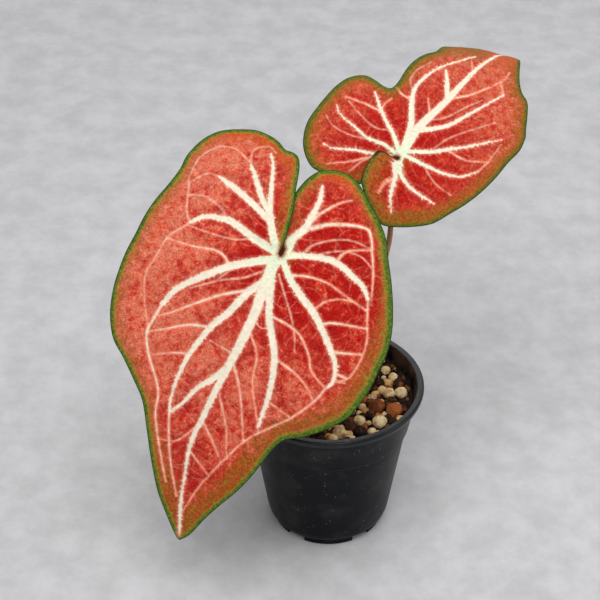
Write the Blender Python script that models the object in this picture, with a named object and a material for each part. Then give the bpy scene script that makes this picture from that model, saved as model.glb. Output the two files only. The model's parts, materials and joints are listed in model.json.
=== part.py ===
"""A young red caladium with two leaves, growing in a round black nursery pot.

Metres, +Z up. The origin is the middle of the pot's underside. -Y is the side that the
leaves face, and +X is to the right when the plant is seen from there.
"""

import math
import random

import bmesh
import bpy
import numpy as np
from mathutils import Matrix, Vector
from mathutils.geometry import delaunay_2d_cdt

MM = 0.001

# ---- driving dimensions, in millimetres ----

GAP = 0.3                       # clearance between pieces that touch

POT_HEIGHT = 80.0
POT_RIM_RADIUS = 45.0           # a 9 cm pot
POT_COLLAR_TOP_RADIUS = 41.8    # the collar under the lip, outside
POT_COLLAR_FOOT_RADIUS = 38.5
POT_COLLAR_FOOT_HEIGHT = 58.0
POT_WALL_TOP_RADIUS = 37.4
POT_WALL_FOOT_RADIUS = 29.7
POT_WALL = 1.2
POT_FLOOR_UNDERSIDE = 4.2
POT_FOOT_RING_RADIUS = 26.8
POT_FOOT_RING_WIDTH = 2.0
POT_PAD_RADIUS = 6.0            # flush disc in the middle of the underside
POT_SEGMENTS = 56
DRAIN_COUNT = 5                 # drain holes, each behind a notch in the foot ring
FIRST_DRAIN_ANGLE = 18.0        # degrees from +X, so that two notches show at the front
DRAIN_RADIUS = 3.2
DRAIN_CENTRE_RADIUS = 19.5
NOTCH_WIDTH = 9.4

SOIL_HEIGHT = 72.5
SOIL_SEGMENTS = 40
GRAIN_SEED = 11
GRAIN_COUNT = 84
STEM_HOLE_RADIUS = 3.0

TUBER_CENTRE = (0.5, 3.0, 52.0)
TUBER_RADIUS = (9.6, 9.6, 7.0)
BUD_RADIUS = 2.6
BUD_TOP = 61.0

BLADE_THICKNESS = 0.8
HUB_DEPTH = 2.4                 # from the blade's middle down to the flat that the stalk meets
HUB_SEAT = (0.0, -2.4)          # where the stalk meets the blade, in the blade's own pattern
HUB_SEAT_RADIUS = 2.7

# A blade is drawn flat first. x runs across it and y runs from the stalk towards its two
# back lobes, so the tip is at negative y. The sheet is then bent, waved and set in place.
# "seam" is the line where the back lobes meet; one lobe lies over the other there.

LARGE_BLADE = {
    "hub": (-22.3, -3.3, 154.2), "elevation": 36.0, "heading": 0.0, "roll": 19.8,
    "bend": [(-90, 18), (-50, 18), (0, 9), (60, -3), (170, -26)], "bend_turn": 0.0,
    "rise": 0.10, "droop": 0.0022,
    "waves": [(1.2, 3, 20), (0.7, 7, 100)], "wave_centre": -45.0, "wave_reach": 90.0,
    "seam": [(-0.5, 0), (-0.5, 5), (-0.5, 12), (-1, 21), (-1.8, 28), (-2, 34), (-2.5, 50)],
    "over": -1, "lap_width": 14.0, "lap": (1.0, 5.5, 3.5, 10), "slide": (0.0, 4.5),
    "raise": (1.2, 1.6),
    "near_side": [(-0.6, 0.9), (-1.8, 1.8), (-1.9, 3.4), (-1.1, 5.5), (-1, 11), (-2, 21.5),
                  (-4, 30.5), (-6, 41), (-9, 46), (-15, 47), (-22, 51), (-29.5, 52), (-38, 50),
                  (-46, 46), (-52, 39), (-55.5, 30), (-57, 20), (-61.5, 5.5), (-64.5, -12),
                  (-66, -30), (-65, -41), (-61.5, -53.5), (-53, -64.5), (-42, -74.5),
                  (-36, -82), (-30.5, -92), (-17, -118), (-8, -130), (0, -138.5)],
    "far_side": [(0, -138.5), (5, -130.5), (9.5, -119.5), (20, -98.5), (24.5, -85),
                 (29, -76.5), (40, -70), (50, -60.5), (55.5, -49), (58.5, -32), (59, -24),
                 (56.5, -10), (51, 5), (42, 22.5), (35, 31), (27.5, 39), (20, 44.5),
                 (13.5, 46), (7, 43.5), (3, 38), (1, 31.5), (0, 25), (0, 14), (0.4, 6),
                 (0.9, 3.2), (0.5, 1.6), (-0.6, 0.9)],
    "ribs": [
        (2.4, 0.5, [(0, 0), (-2, -11), (-2.5, -31), (-5, -55), (-7.5, -72), (-9.5, -88),
                    (-8, -107), (-5, -121), (-0.5, -137)]),
        (1.4, 0.3, [(-1.5, -1), (-11.5, -7), (-20.5, -12.5), (-30.5, -21), (-39, -30),
                    (-44, -45)]),
        (1.4, 0.3, [(-3, -14), (-13.5, -31), (-19, -41), (-23.5, -55), (-25, -72),
                    (-22, -84)]),
        (1.2, 0.3, [(-3, 2.5), (-8.5, 11), (-12.5, 20), (-17, 34), (-20, 43)]),
        (1.0, 0.3, [(-5, 1), (-14, 3.5), (-25, 7), (-38, 5.5), (-50, -8)]),
        (1.2, 0.3, [(-0.5, -10.5), (2, -19), (6.5, -32), (13, -45), (15.5, -62),
                    (16, -75)]),
        (1.4, 0.3, [(2, -2.5), (14, -13.5), (28, -24.5), (39, -38), (40, -46), (34, -58)]),
        (1.2, 0.3, [(1.6, 0.8), (9, 3.7), (17.5, 5.5), (32.5, 2.5), (44, -7), (49, -30)]),
        (1.2, 0.3, [(1.5, 3.5), (4.5, 11), (8.5, 17), (10, 30), (9, 38)]),
    ],
}

SMALL_BLADE = {
    "hub": (31.6, 42.4, 178.0), "elevation": 51.4, "heading": 5.6, "roll": -126.5,
    "bend": [(-70, 14), (-30, 10), (0, 0), (51, -12.5), (64.5, -32), (76, -74), (87, -98),
             (120, -112)],
    "bend_turn": 36.6,
    "rise": 0.10, "droop": 0.0030,
    "waves": [(0.8, 3, 200), (0.6, 7, 40)], "wave_centre": -28.0, "wave_reach": 58.0,
    "seam": [(0.6, 0), (0.7, 3), (0.9, 9), (0.8, 15), (0.7, 20), (0.5, 34)],
    "over": -1, "lap_width": 10.0, "lap": (0.6, 4, 1.2, 6), "slide": (8.0, 1.0),
    "raise": (2.2, 1.0),
    "near_side": [(0.4, 0.6), (0.3, 2.5), (0.3, 5.5), (0, 9), (-0.8, 12.5), (-1.8, 16),
                  (-4, 21), (-7, 23.5), (-13, 26.5), (-18.5, 27), (-23, 23.5), (-28.5, 17),
                  (-33, 9), (-35, 0), (-36.5, -13), (-36, -27), (-33.5, -42), (-31.5, -51),
                  (-26.5, -56.5), (-21, -62.5), (-12, -67.5), (-6.5, -71.5), (-1, -78),
                  (5, -86), (16.5, -99)],
    "far_side": [(16.5, -99), (23, -89), (28, -80), (32.5, -73), (33.5, -66), (32.5, -59),
                 (31.5, -53), (33, -45), (32.5, -37.5), (29, -26), (28.5, -20.5),
                 (31.5, -19), (36, -18), (41, -17), (44, -13.5), (46, -7), (45.5, 1),
                 (43.5, 10.5), (40.5, 20), (35.5, 27), (30, 31.3), (23, 33.5), (17, 32),
                 (12, 30.5), (7, 27.5), (3.5, 23), (2, 17), (1.7, 10), (1.3, 3), (0.9, 1.2),
                 (0.4, 0.6)],
    "ribs": [
        (1.6, 0.4, [(0, 0), (5, -16), (6.6, -30), (8, -40), (10, -53), (12, -66),
                    (11.5, -80), (6, -99)]),
        (0.9, 0.3, [(2.2, -4.5), (8, -15), (17, -23.5), (21.5, -30), (23, -42),
                    (21.5, -57)]),
        (0.9, 0.3, [(-1.3, -5), (-7.5, -13), (-12, -20.5), (-17, -29.5), (-24, -43.5)]),
        (0.9, 0.3, [(-3, -3), (-13, -8), (-20, -11.5), (-26, -16), (-29, -25)]),
        (0.9, 0.3, [(-1.4, 1.5), (-4, 6), (-8, 12), (-14, 18)]),
        (0.9, 0.3, [(4.8, -3), (18, -8), (25, -10), (32, -13.5)]),
        (0.9, 0.3, [(3.5, 0), (10, 1.2), (17, 5), (26, 5.5), (37, 5)]),
        (0.8, 0.3, [(4, 2.5), (10.5, 8.5), (16, 13.5), (22.5, 20)]),
    ],
}

# Each stalk: the points that it follows from the tuber, and its radius along the way.
LARGE_STALK = {
    "path": [(-4.0, 2.0, BUD_TOP + GAP), (-5.0, 3.5, 84.0), (-10.5, 7.0, 110.0),
             (-18.0, 7.5, 133.0)],
    "radii": [2.5, 2.3, 1.9, 1.6, 1.45, 1.45],
}
SMALL_STALK = {
    "path": [(5.5, 4.5, BUD_TOP + GAP), (8.5, 6.5, 84.0), (18.5, 18.0, 111.0),
             (27.0, 30.0, 135.0), (29.0, 36.0, 150.0)],
    "radii": [2.4, 2.1, 1.6, 1.35, 1.3, 1.3, 1.3],
}


# ---- materials and mesh helpers ----

def principled(name, colour, roughness, metallic=0.0):
    material = bpy.data.materials.new(name)
    material.use_nodes = True
    shader = material.node_tree.nodes["Principled BSDF"]
    shader.inputs["Base Color"].default_value = (*colour, 1.0)
    shader.inputs["Roughness"].default_value = roughness
    shader.inputs["Metallic"].default_value = metallic
    material.diffuse_color = (*colour, 1.0)
    return material


def new_object(name, points, faces, material, sharp_angle=40.0):
    """Make an object from points in millimetres."""
    mesh = bpy.data.meshes.new(name)
    mesh.from_pydata([[c * MM for c in p] for p in points], [], faces)
    work = bmesh.new()
    work.from_mesh(mesh)
    bmesh.ops.recalc_face_normals(work, faces=work.faces)
    if work.calc_volume(signed=True) < 0:
        bmesh.ops.reverse_faces(work, faces=work.faces)
    work.to_mesh(mesh)
    work.free()
    mesh.materials.append(material)
    mesh.shade_smooth()
    mesh.set_sharp_from_angle(angle=math.radians(sharp_angle))
    body = bpy.data.objects.new(name, mesh)
    bpy.context.collection.objects.link(body)
    return body


def turned(name, profile, segments, material, sharp_angle=40.0):
    """Spin a profile of (radius, height) points about Z. Its ends lie on the axis."""
    work = bmesh.new()
    verts = [work.verts.new((r * MM, 0, z * MM)) for r, z in profile]
    edges = [work.edges.new(pair) for pair in zip(verts, verts[1:])]
    bmesh.ops.spin(work, geom=verts + edges, cent=(0, 0, 0), axis=(0, 0, 1),
                   angle=2 * math.pi, steps=segments, use_merge=True)
    bmesh.ops.remove_doubles(work, verts=work.verts, dist=0.00001)
    bmesh.ops.recalc_face_normals(work, faces=work.faces)
    if work.calc_volume(signed=True) < 0:
        bmesh.ops.reverse_faces(work, faces=work.faces)
    mesh = bpy.data.meshes.new(name)
    work.to_mesh(mesh)
    work.free()
    mesh.materials.append(material)
    mesh.shade_smooth()
    mesh.set_sharp_from_angle(angle=math.radians(sharp_angle))
    body = bpy.data.objects.new(name, mesh)
    bpy.context.collection.objects.link(body)
    return body


def apply_modifiers(body):
    """Bake an object's modifiers into its mesh."""
    graph = bpy.context.evaluated_depsgraph_get()
    mesh = bpy.data.meshes.new_from_object(body.evaluated_get(graph))
    body.modifiers.clear()
    body.data = mesh


def boolean(body, tools, operation, name="tools"):
    """Join or cut a body with a collection of tools, then remove the tools."""
    group = bpy.data.collections.new(name)
    bpy.context.scene.collection.children.link(group)
    for tool in tools:
        for owner in list(tool.users_collection):
            owner.objects.unlink(tool)
        group.objects.link(tool)
        tool.hide_render = True
        tool.display_type = "WIRE"
    modifier = body.modifiers.new(name, "BOOLEAN")
    modifier.operation = operation
    modifier.operand_type = "COLLECTION"
    modifier.collection = group
    modifier.solver = "EXACT"
    bpy.context.view_layer.update()
    apply_modifiers(body)
    for tool in list(group.objects):
        bpy.data.objects.remove(tool)
    bpy.data.collections.remove(group)


def smooth_step(low, high, value):
    t = np.clip((value - low) / (high - low), 0, 1)
    return t * t * (3 - 2 * t)


# ---- the pot ----

def inner_wall_radius(height):
    """The pot's inside radius at a height."""
    heights = [POT_FLOOR_UNDERSIDE + POT_WALL, POT_COLLAR_FOOT_HEIGHT - 1.0,
               POT_COLLAR_FOOT_HEIGHT + 0.8, POT_HEIGHT - 4.0, POT_HEIGHT]
    radii = [POT_WALL_FOOT_RADIUS - POT_WALL, POT_WALL_TOP_RADIUS - POT_WALL,
             POT_COLLAR_FOOT_RADIUS - POT_WALL, POT_COLLAR_TOP_RADIUS - POT_WALL, 41.4]
    return float(np.interp(height, heights, radii))


def make_pot():
    plastic = principled("black plastic", (0.022, 0.024, 0.027), 0.42)
    lift = POT_FLOOR_UNDERSIDE
    ring = POT_FOOT_RING_RADIUS
    foot = POT_WALL_FOOT_RADIUS
    collar = POT_COLLAR_FOOT_HEIGHT
    top = POT_HEIGHT
    floor = lift + POT_WALL
    profile = [
        (0, floor), (foot - POT_WALL - 1.4, floor), (foot - POT_WALL - 0.3, floor + 0.5),
        (foot - POT_WALL + 0.1, floor + 1.5),
        (POT_WALL_TOP_RADIUS - POT_WALL, collar - 1.0),
        (POT_COLLAR_FOOT_RADIUS - POT_WALL, collar + 0.8),
        (POT_COLLAR_TOP_RADIUS - POT_WALL, top - 4.0),
        (41.0, top - 1.2), (41.5, top - 0.3), (42.1, top),
        (43.9, top), (44.7, top - 0.35), (POT_RIM_RADIUS, top - 1.0),
        (POT_RIM_RADIUS - 0.1, top - 2.0), (44.3, top - 3.3), (43.2, top - 4.1),
        (POT_COLLAR_TOP_RADIUS, top - 4.5),
        (POT_COLLAR_FOOT_RADIUS + 0.15, collar + 0.3), (POT_COLLAR_FOOT_RADIUS - 0.3, collar - 0.3),
        (POT_WALL_TOP_RADIUS, collar - 0.8),
        (foot + 0.5, lift + 5.8), (foot + 0.1, lift + 3.4), (foot - 0.3, lift + 1.6),
        (foot - 1.1, lift + 0.5), (ring + 0.3, lift - 0.1), (ring, 0.0), (ring - POT_FOOT_RING_WIDTH, 0.0),
        (ring - POT_FOOT_RING_WIDTH - 0.3, lift),
        (POT_PAD_RADIUS + 0.8, lift), (POT_PAD_RADIUS, 0.0), (0, 0.0),
    ]
    pot = turned("pot", profile, POT_SEGMENTS, plastic, sharp_angle=35.0)

    tools = []
    for index in range(DRAIN_COUNT):
        angle = math.radians(FIRST_DRAIN_ANGLE + 360 * index / DRAIN_COUNT)
        spot = Vector((math.cos(angle), math.sin(angle), 0))
        bpy.ops.mesh.primitive_cylinder_add(
            vertices=16, radius=DRAIN_RADIUS * MM, depth=8 * MM,
            location=spot * DRAIN_CENTRE_RADIUS * MM + Vector((0, 0, 3 * MM)))
        tools.append(bpy.context.object)
        bpy.ops.mesh.primitive_cube_add(
            size=1, location=spot * ring * MM + Vector((0, 0, (lift / 2 - 0.7) * MM)),
            rotation=(0, 0, angle), scale=(7 * MM, NOTCH_WIDTH * MM, (lift + 0.8) * MM))
        tools.append(bpy.context.object)
    boolean(pot, tools, "DIFFERENCE", "drains")
    return pot


# ---- the soil, its grains and the tuber ----

def soil_surface(x, y):
    """The height of the soil between its grains."""
    swell = 0.6 * math.sin(0.19 * x + 0.6) * math.cos(0.16 * y - 0.4)
    ripple = 0.35 * math.sin(0.55 * x - 0.3 * y) * math.cos(0.47 * y + 0.8)
    return SOIL_HEIGHT + swell + ripple


# The grains that can be seen best: x, y, radius.
SHOWN_GRAINS = [(27.5, 17.0, 2.4), (31.0, 11.3, 2.6), (27.3, 1.0, 3.8), (34.0, -0.8, 3.1),
                (14.0, -20.3, 2.8), (23.2, -22.0, 3.6), (19.2, -27.8, 2.1),
                (8.2, -31.2, 2.4), (3.2, -31.0, 3.3), (22.0, -11.4, 4.3), (30.3, -13.8, 3.8),
                (25.1, 7.6, 2.4), (33.2, 6.0, 2.8), (14.0, -28.6, 2.8), (13.4, -13.4, 2.0)]


def grain_places():
    """Scatter grains over the soil, clear of each other and of the stalks."""
    draw = random.Random(GRAIN_SEED)
    stalks = [(-4.5, 2.8), (7.0, 5.5)]
    reach = inner_wall_radius(SOIL_HEIGHT) - GAP
    placed = [(x, y, r) for x, y, r in SHOWN_GRAINS]
    for _ in range(4000):
        if len(placed) >= GRAIN_COUNT:
            break
        radius = draw.uniform(2.2, 3.9)
        angle = draw.uniform(0, 2 * math.pi)
        out = (reach - radius - 0.8) * math.sqrt(draw.random())
        x, y = out * math.cos(angle), out * math.sin(angle)
        clear = all(math.hypot(x - u, y - v) > 0.8 * (radius + r) for u, v, r in placed)
        open_hole = all(math.hypot(x - u, y - v) > radius + STEM_HOLE_RADIUS + 1.0
                        for u, v in stalks)
        if clear and open_hole:
            placed.append((x, y, radius))
    return placed


def make_grain(draw, x, y, radius, fineness, material):
    """One angular grain, sunk to about its middle."""
    bpy.ops.mesh.primitive_ico_sphere_add(subdivisions=fineness, radius=radius * MM)
    grain = bpy.context.object
    for vert in grain.data.vertices:
        vert.co *= draw.uniform(0.88, 1.1)
    turn = Matrix.Rotation(draw.uniform(0, math.tau), 4, "Z")
    turn = turn @ Matrix.Rotation(draw.uniform(-0.5, 0.5), 4, "X")
    squash = Matrix.Diagonal((draw.uniform(0.92, 1.1), draw.uniform(0.82, 1.0),
                              draw.uniform(0.75, 0.9), 1))
    height = soil_surface(x, y) + 0.22 * radius
    grain.data.transform(Matrix.Translation((x * MM, y * MM, height * MM)) @ turn @ squash)
    grain.data.materials.append(material)
    return grain


def make_soil():
    earth = principled("soil", (0.075, 0.045, 0.030), 0.92)
    reach = inner_wall_radius(SOIL_HEIGHT) - GAP
    floor = POT_FLOOR_UNDERSIDE + POT_WALL + GAP
    levels = [floor + 1.6, POT_COLLAR_FOOT_HEIGHT - 1.2, POT_COLLAR_FOOT_HEIGHT + 1.2,
              SOIL_HEIGHT]
    profile = [(0, floor), (inner_wall_radius(floor) - 2.2, floor)]
    profile += [(inner_wall_radius(z) - GAP - 0.15, z) for z in levels]
    profile += [(reach * t, SOIL_HEIGHT) for t in (0.9, 0.7, 0.5, 0.3, 0.12, 0)]
    soil = turned("soil", profile, SOIL_SEGMENTS, earth)
    for vert in soil.data.vertices:
        x, y, z = (c / MM for c in vert.co)
        if z > SOIL_HEIGHT - 0.1:
            edge = smooth_step(reach, reach - 4, math.hypot(x, y))
            vert.co.z += (soil_surface(x, y) - SOIL_HEIGHT) * edge * MM

    draw = random.Random(GRAIN_SEED + 1)
    grains = [make_grain(draw, x, y, r, 2 if k < len(SHOWN_GRAINS) else 1, earth)
              for k, (x, y, r) in enumerate(grain_places())]
    boolean(soil, grains, "UNION", "grains")

    hollow = make_tuber_shape("tuber hollow", 0.45, earth)
    tools = [hollow]
    for stalk in (LARGE_STALK, SMALL_STALK):
        start, above = Vector(stalk["path"][0]), Vector(stalk["path"][1])
        lean = (above - start).normalized()
        low, high = start - lean * 7, above + lean * 2
        tools.append(rod("hole", low, high, STEM_HOLE_RADIUS, 16, earth))
    boolean(soil, tools, "DIFFERENCE", "holes")
    return soil


def rod(name, low, high, radius, sides, material):
    """A plain round bar between two points."""
    lean = high - low
    turn = lean.to_track_quat("Z", "Y").to_matrix()
    points, faces = [], []
    for end in (low, high):
        for k in range(sides):
            angle = math.tau * k / sides
            points.append(end + turn @ Vector((radius * math.cos(angle),
                                               radius * math.sin(angle), 0)))
    for k in range(sides):
        nxt = (k + 1) % sides
        faces.append((k, nxt, sides + nxt, sides + k))
    faces.append(tuple(range(sides)))
    faces.append(tuple(range(sides, 2 * sides)))
    return new_object(name, points, faces, material)


def make_tuber_shape(name, swell, material):
    """The tuber's rounded body, grown outwards by swell."""
    bpy.ops.mesh.primitive_uv_sphere_add(segments=20, ring_count=12, radius=1)
    body = bpy.context.object
    body.name = name
    for vert in body.data.vertices:
        d = vert.co.normalized()
        knob = 1 + 0.05 * math.sin(3 * math.atan2(d.y, d.x) + 0.7) * (1 - d.z * d.z)
        size = [r * knob + swell for r in TUBER_RADIUS]
        vert.co = Vector([(c + s * e) * MM for c, s, e in zip(TUBER_CENTRE, size, d)])
    body.data.materials.clear()
    body.data.materials.append(material)
    body.data.shade_smooth()
    return body


def make_tuber():
    skin = principled("tuber", (0.23, 0.14, 0.08), 0.85)
    tuber = make_tuber_shape("tuber", 0.0, skin)
    buds = []
    for stalk in (LARGE_STALK, SMALL_STALK):
        start, above = Vector(stalk["path"][0]), Vector(stalk["path"][1])
        lean = (above - start).normalized()
        buds.append(rod("bud", start - lean * (GAP + 6), start - lean * GAP, BUD_RADIUS,
                        14, skin))
    boolean(tuber, buds, "UNION", "buds")
    return tuber


# ---- the leaf blades ----

def blade_axes(blade):
    """The directions across a blade, towards its back lobes, and out of its face."""
    rise = math.radians(blade["elevation"])
    heading = math.radians(blade["heading"])
    roll = math.radians(blade["roll"])
    out = np.array([math.sin(heading) * math.cos(rise),
                    -math.cos(heading) * math.cos(rise), math.sin(rise)])
    side = np.array([math.cos(heading), math.sin(heading), 0.0])
    upslope = np.cross(out, side)
    back = math.cos(roll) * upslope + math.sin(roll) * side
    across = math.cos(roll) * side - math.sin(roll) * upslope
    return across, back, out


def bend_table(blade):
    """Distance, slope, and the bent line's run and rise, every half millimetre."""
    stations = np.array(blade["bend"], float)
    q = np.arange(stations[0, 0], stations[-1, 0] + 0.5, 0.5)
    slope = np.radians(np.interp(q, stations[:, 0], stations[:, 1]))
    run = np.concatenate([[0], np.cumsum((np.cos(slope[1:]) + np.cos(slope[:-1])) / 4)])
    rise = np.concatenate([[0], np.cumsum((np.sin(slope[1:]) + np.sin(slope[:-1])) / 4)])
    return q, slope, run - np.interp(0, q, run), rise - np.interp(0, q, rise)


def seam_offset(blade, x, y):
    seam = np.array(blade["seam"], float)
    return x - np.interp(y, seam[:, 1], seam[:, 0])


def place_on_blade(blade, x, y, lift):
    """Carry points of the flat pattern to the bent, waved blade; lift is out of its face."""
    x, y, lift = (np.asarray(v, float) for v in (x, y, lift))
    across, back, out = blade_axes(blade)

    # where the back lobes meet, one is raised and the other slides under it
    offset = seam_offset(blade, x, y)
    near = np.exp(-(offset / blade["lap_width"]) ** 2)
    over = blade["over"]
    on_top = offset * over > 0
    rise_from, rise_to, slide_from, slide_to = blade["lap"]
    raised = smooth_step(rise_from, rise_to, y) * near
    slid = smooth_step(slide_from, slide_to, y) * near
    top_slide, low_slide = blade["slide"]
    shifted = x + np.where(on_top, -over * top_slide, over * low_slide) * slid
    lap = np.where(on_top, blade["raise"][0], -blade["raise"][1]) * raised

    # a shallow trough along the midrib, edges that droop, and slow waves
    height = blade["rise"] * (np.sqrt(x * x + 16) - 4) - blade["droop"] * x * x
    radius = np.hypot(x, y - blade["wave_centre"])
    angle = np.arctan2(x, y - blade["wave_centre"])
    for size, count, start in blade["waves"]:
        height = height + size * (radius / blade["wave_reach"]) ** 3 * np.sin(
            count * angle + math.radians(start))

    # the sheet bends about one line of the pattern
    turn = math.radians(blade["bend_turn"])
    q = shifted * math.sin(turn) - y * math.cos(turn)
    a = shifted * math.cos(turn) + y * math.sin(turn)
    q_axis = math.sin(turn) * across - math.cos(turn) * back
    a_axis = math.cos(turn) * across + math.sin(turn) * back
    stations, slopes, runs, rises = bend_table(blade)
    slope = np.interp(q, stations, slopes)[..., None]
    run = np.interp(q, stations, runs)[..., None]
    rise = np.interp(q, stations, rises)[..., None]
    face = -np.sin(slope) * q_axis + np.cos(slope) * out
    return (np.array(blade["hub"]) + a[..., None] * a_axis + run * q_axis + rise * out
            + (height + lap + lift)[..., None] * face)


def smooth_curve(points, spacing, ends_sharp=True):
    """Points at an even spacing along a smooth line through the given points."""
    p = [np.array(q, float) for q in points]
    first, last = 2 * p[0] - p[1], 2 * p[-1] - p[-2]
    p = [first] + p + [last]
    dense = []
    for k in range(1, len(p) - 2):
        for t in np.linspace(0, 1, 12, endpoint=False):
            a, b, c, d = p[k - 1], p[k], p[k + 1], p[k + 2]
            dense.append(0.5 * (2 * b + (c - a) * t + (2 * a - 5 * b + 4 * c - d) * t * t
                                + (3 * b - a - 3 * c + d) * t ** 3))
    dense.append(p[-2])
    dense = np.array(dense)
    length = np.concatenate([[0], np.cumsum(np.linalg.norm(np.diff(dense, axis=0), axis=1))])
    count = max(2, int(round(length[-1] / spacing)) + 1)
    at = np.linspace(0, length[-1], count)
    return np.stack([np.interp(at, length, dense[:, k]) for k in range(dense.shape[1])], 1)


def inside(polygon, x, y):
    """Whether a point lies inside a closed outline."""
    hit = False
    for (x1, y1), (x2, y2) in zip(polygon, np.roll(polygon, -1, axis=0)):
        if (y1 > y) != (y2 > y) and x < (x2 - x1) * (y - y1) / (y2 - y1) + x1:
            hit = not hit
    return hit


def edge_distance(polygon, x, y):
    a = polygon
    d = np.roll(polygon, -1, axis=0) - a
    t = np.clip(((x - a[:, 0]) * d[:, 0] + (y - a[:, 1]) * d[:, 1]) / (d ** 2).sum(1), 0, 1)
    return float(np.hypot(a[:, 0] + t * d[:, 0] - x, a[:, 1] + t * d[:, 1] - y).min())


def blade_pattern(blade, edge_spacing, lattice, rib_spacing):
    """The flat blade as points, triangles, edge loop and depth of rib under each point."""
    near = smooth_curve(blade["near_side"], edge_spacing)
    far = smooth_curve(blade["far_side"], edge_spacing)
    outline = np.concatenate([near[:-1], far[:-1]])
    if np.dot(outline[:, 0], np.roll(outline[:, 1], -1)) < np.dot(
            outline[:, 1], np.roll(outline[:, 0], -1)):
        outline = outline[::-1]
    points = [tuple(p) for p in outline]
    depth = [0.0] * len(points)
    taken = []

    def add(x, y, rib, clear, edge_clear):
        if not inside(outline, x, y) or edge_distance(outline, x, y) < edge_clear:
            return
        if taken and np.hypot(*(np.array(taken) - (x, y)).T).min() < clear:
            return
        taken.append((x, y))
        points.append((x, y))
        depth.append(rib)

    # the seat of the stalk: a flat, with a ring round it
    seat = HUB_DEPTH - BLADE_THICKNESS / 2
    add(*HUB_SEAT, seat, 0.1, 0.3)
    for ring, count, rib in ((HUB_SEAT_RADIUS, 10, seat), (HUB_SEAT_RADIUS + 2.2, 10, 0.9)):
        for k in range(count):
            angle = math.tau * (k + 0.5) / count
            add(HUB_SEAT[0] + ring * math.cos(angle), HUB_SEAT[1] + ring * math.sin(angle),
                rib, 0.9, 0.7)
    # ribs under the main veins: a crest with both its feet
    for start, end, line in blade["ribs"]:
        crest = smooth_curve(line, rib_spacing)
        along = np.gradient(crest, axis=0)
        along /= np.linalg.norm(along, axis=1)[:, None]
        size = np.interp(np.linspace(0, 1, len(crest)), [0, 1], [start, end])
        for (x, y), (u, v), h in zip(crest, along, size):
            if math.hypot(x - HUB_SEAT[0], y - HUB_SEAT[1]) < HUB_SEAT_RADIUS + 1.5:
                continue
            foot = 1.0 + 0.5 * h
            add(x, y, h, 1.2, 1.2)
            for side in (-1, 1):
                add(x - side * foot * v, y + side * foot * u, 0.0, 1.2, 1.2)
    # everywhere else, an even lattice
    step = lattice * math.sqrt(3) / 2
    low, high = outline.min(0), outline.max(0)
    for row in range(int((high[1] - low[1]) / step) + 1):
        for col in range(int((high[0] - low[0]) / lattice) + 1):
            add(low[0] + (col + 0.5 * (row % 2)) * lattice, low[1] + (row + 0.5) * step, 0.0,
                0.62 * lattice, 0.5 * lattice)
    ring = list(range(len(outline)))
    found = delaunay_2d_cdt([Vector(p) for p in points], [], [ring], 1, 1e-6)
    if len(found[0]) != len(points):
        raise RuntimeError("the pattern's points coincide")
    return np.array(points), [tuple(t) for t in found[2]], ring, np.array(depth)


def make_blade(name, blade, material, edge_spacing, lattice, rib_spacing):
    points, triangles, ring, depth = blade_pattern(blade, edge_spacing, lattice, rib_spacing)
    half = BLADE_THICKNESS / 2
    x, y = points[:, 0], points[:, 1]
    upper = place_on_blade(blade, x, y, half - 0.15 * np.minimum(depth, 1.0))
    lower = place_on_blade(blade, x, y, -half - depth)
    count = len(points)
    faces = []
    for a, b, c in triangles:
        turn = ((x[b] - x[a]) * (y[c] - y[a]) - (x[c] - x[a]) * (y[b] - y[a]))
        if turn < 0:
            b, c = c, b
        faces.append((a, b, c))
        faces.append((count + a, count + c, count + b))
    for k, a in enumerate(ring):
        b = ring[(k + 1) % len(ring)]
        faces.append((a, count + a, b))
        faces.append((b, count + a, count + b))
    return new_object(name, np.concatenate([upper, lower]).tolist(), faces, material, 60.0)


def make_large_leaf():
    red = principled("large leaf red", (0.55, 0.035, 0.022), 0.45)
    return make_blade("leaf_large", LARGE_BLADE, red, 5.0, 6.5, 6.0)


def make_small_leaf():
    red = principled("small leaf red", (0.45, 0.06, 0.025), 0.45)
    return make_blade("leaf_small", SMALL_BLADE, red, 4.0, 5.0, 5.0)


# ---- the stalks ----

def stalk_line(stalk, blade):
    """A stalk's full path: up from the tuber and square on to the seat under its blade."""
    seat = place_on_blade(blade, HUB_SEAT[0], HUB_SEAT[1], -HUB_DEPTH - GAP)
    square = seat - place_on_blade(blade, HUB_SEAT[0], HUB_SEAT[1], -HUB_DEPTH - GAP - 1)
    arrival = 0.55 * square + 0.45 * np.array((0, 0, 1.0))
    below = seat - 10 * arrival / np.linalg.norm(arrival)
    return [np.array(p, float) for p in stalk["path"]] + [below, seat], square


def make_stalk(name, stalk, blade, material):
    line, square = stalk_line(stalk, blade)
    path = smooth_curve(line, 6.0)
    rings = len(path)
    knots = np.linspace(0, 1, len(stalk["radii"]))
    radii = np.interp(np.linspace(0, 1, rings), knots, stalk["radii"])
    sides = 12
    points, faces = [], []
    start = Vector(line[1] - line[0]).normalized()
    finish = Vector(square).normalized()
    turn = start.to_track_quat("Z", "Y")
    previous = start
    for k in range(rings):
        ahead = Vector(path[min(k + 1, rings - 1)] - path[max(k - 1, 0)]).normalized()
        ahead = start if k == 0 else finish if k == rings - 1 else ahead
        turn = previous.rotation_difference(ahead) @ turn
        previous = ahead
        for side in range(sides):
            angle = math.tau * side / sides
            spoke = Vector((math.cos(angle), math.sin(angle), 0)) * radii[k]
            points.append(Vector(path[k]) + turn @ spoke)
    for k in range(rings - 1):
        for side in range(sides):
            a, b = k * sides + side, k * sides + (side + 1) % sides
            faces.append((a, b, b + sides, a + sides))
    faces.append(tuple(range(sides)))
    faces.append(tuple(range((rings - 1) * sides, rings * sides)))
    return new_object(name, points, faces, material)


def make_large_stalk():
    green = principled("large stalk", (0.22, 0.17, 0.07), 0.5)
    return make_stalk("stalk_large", LARGE_STALK, LARGE_BLADE, green)


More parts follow.
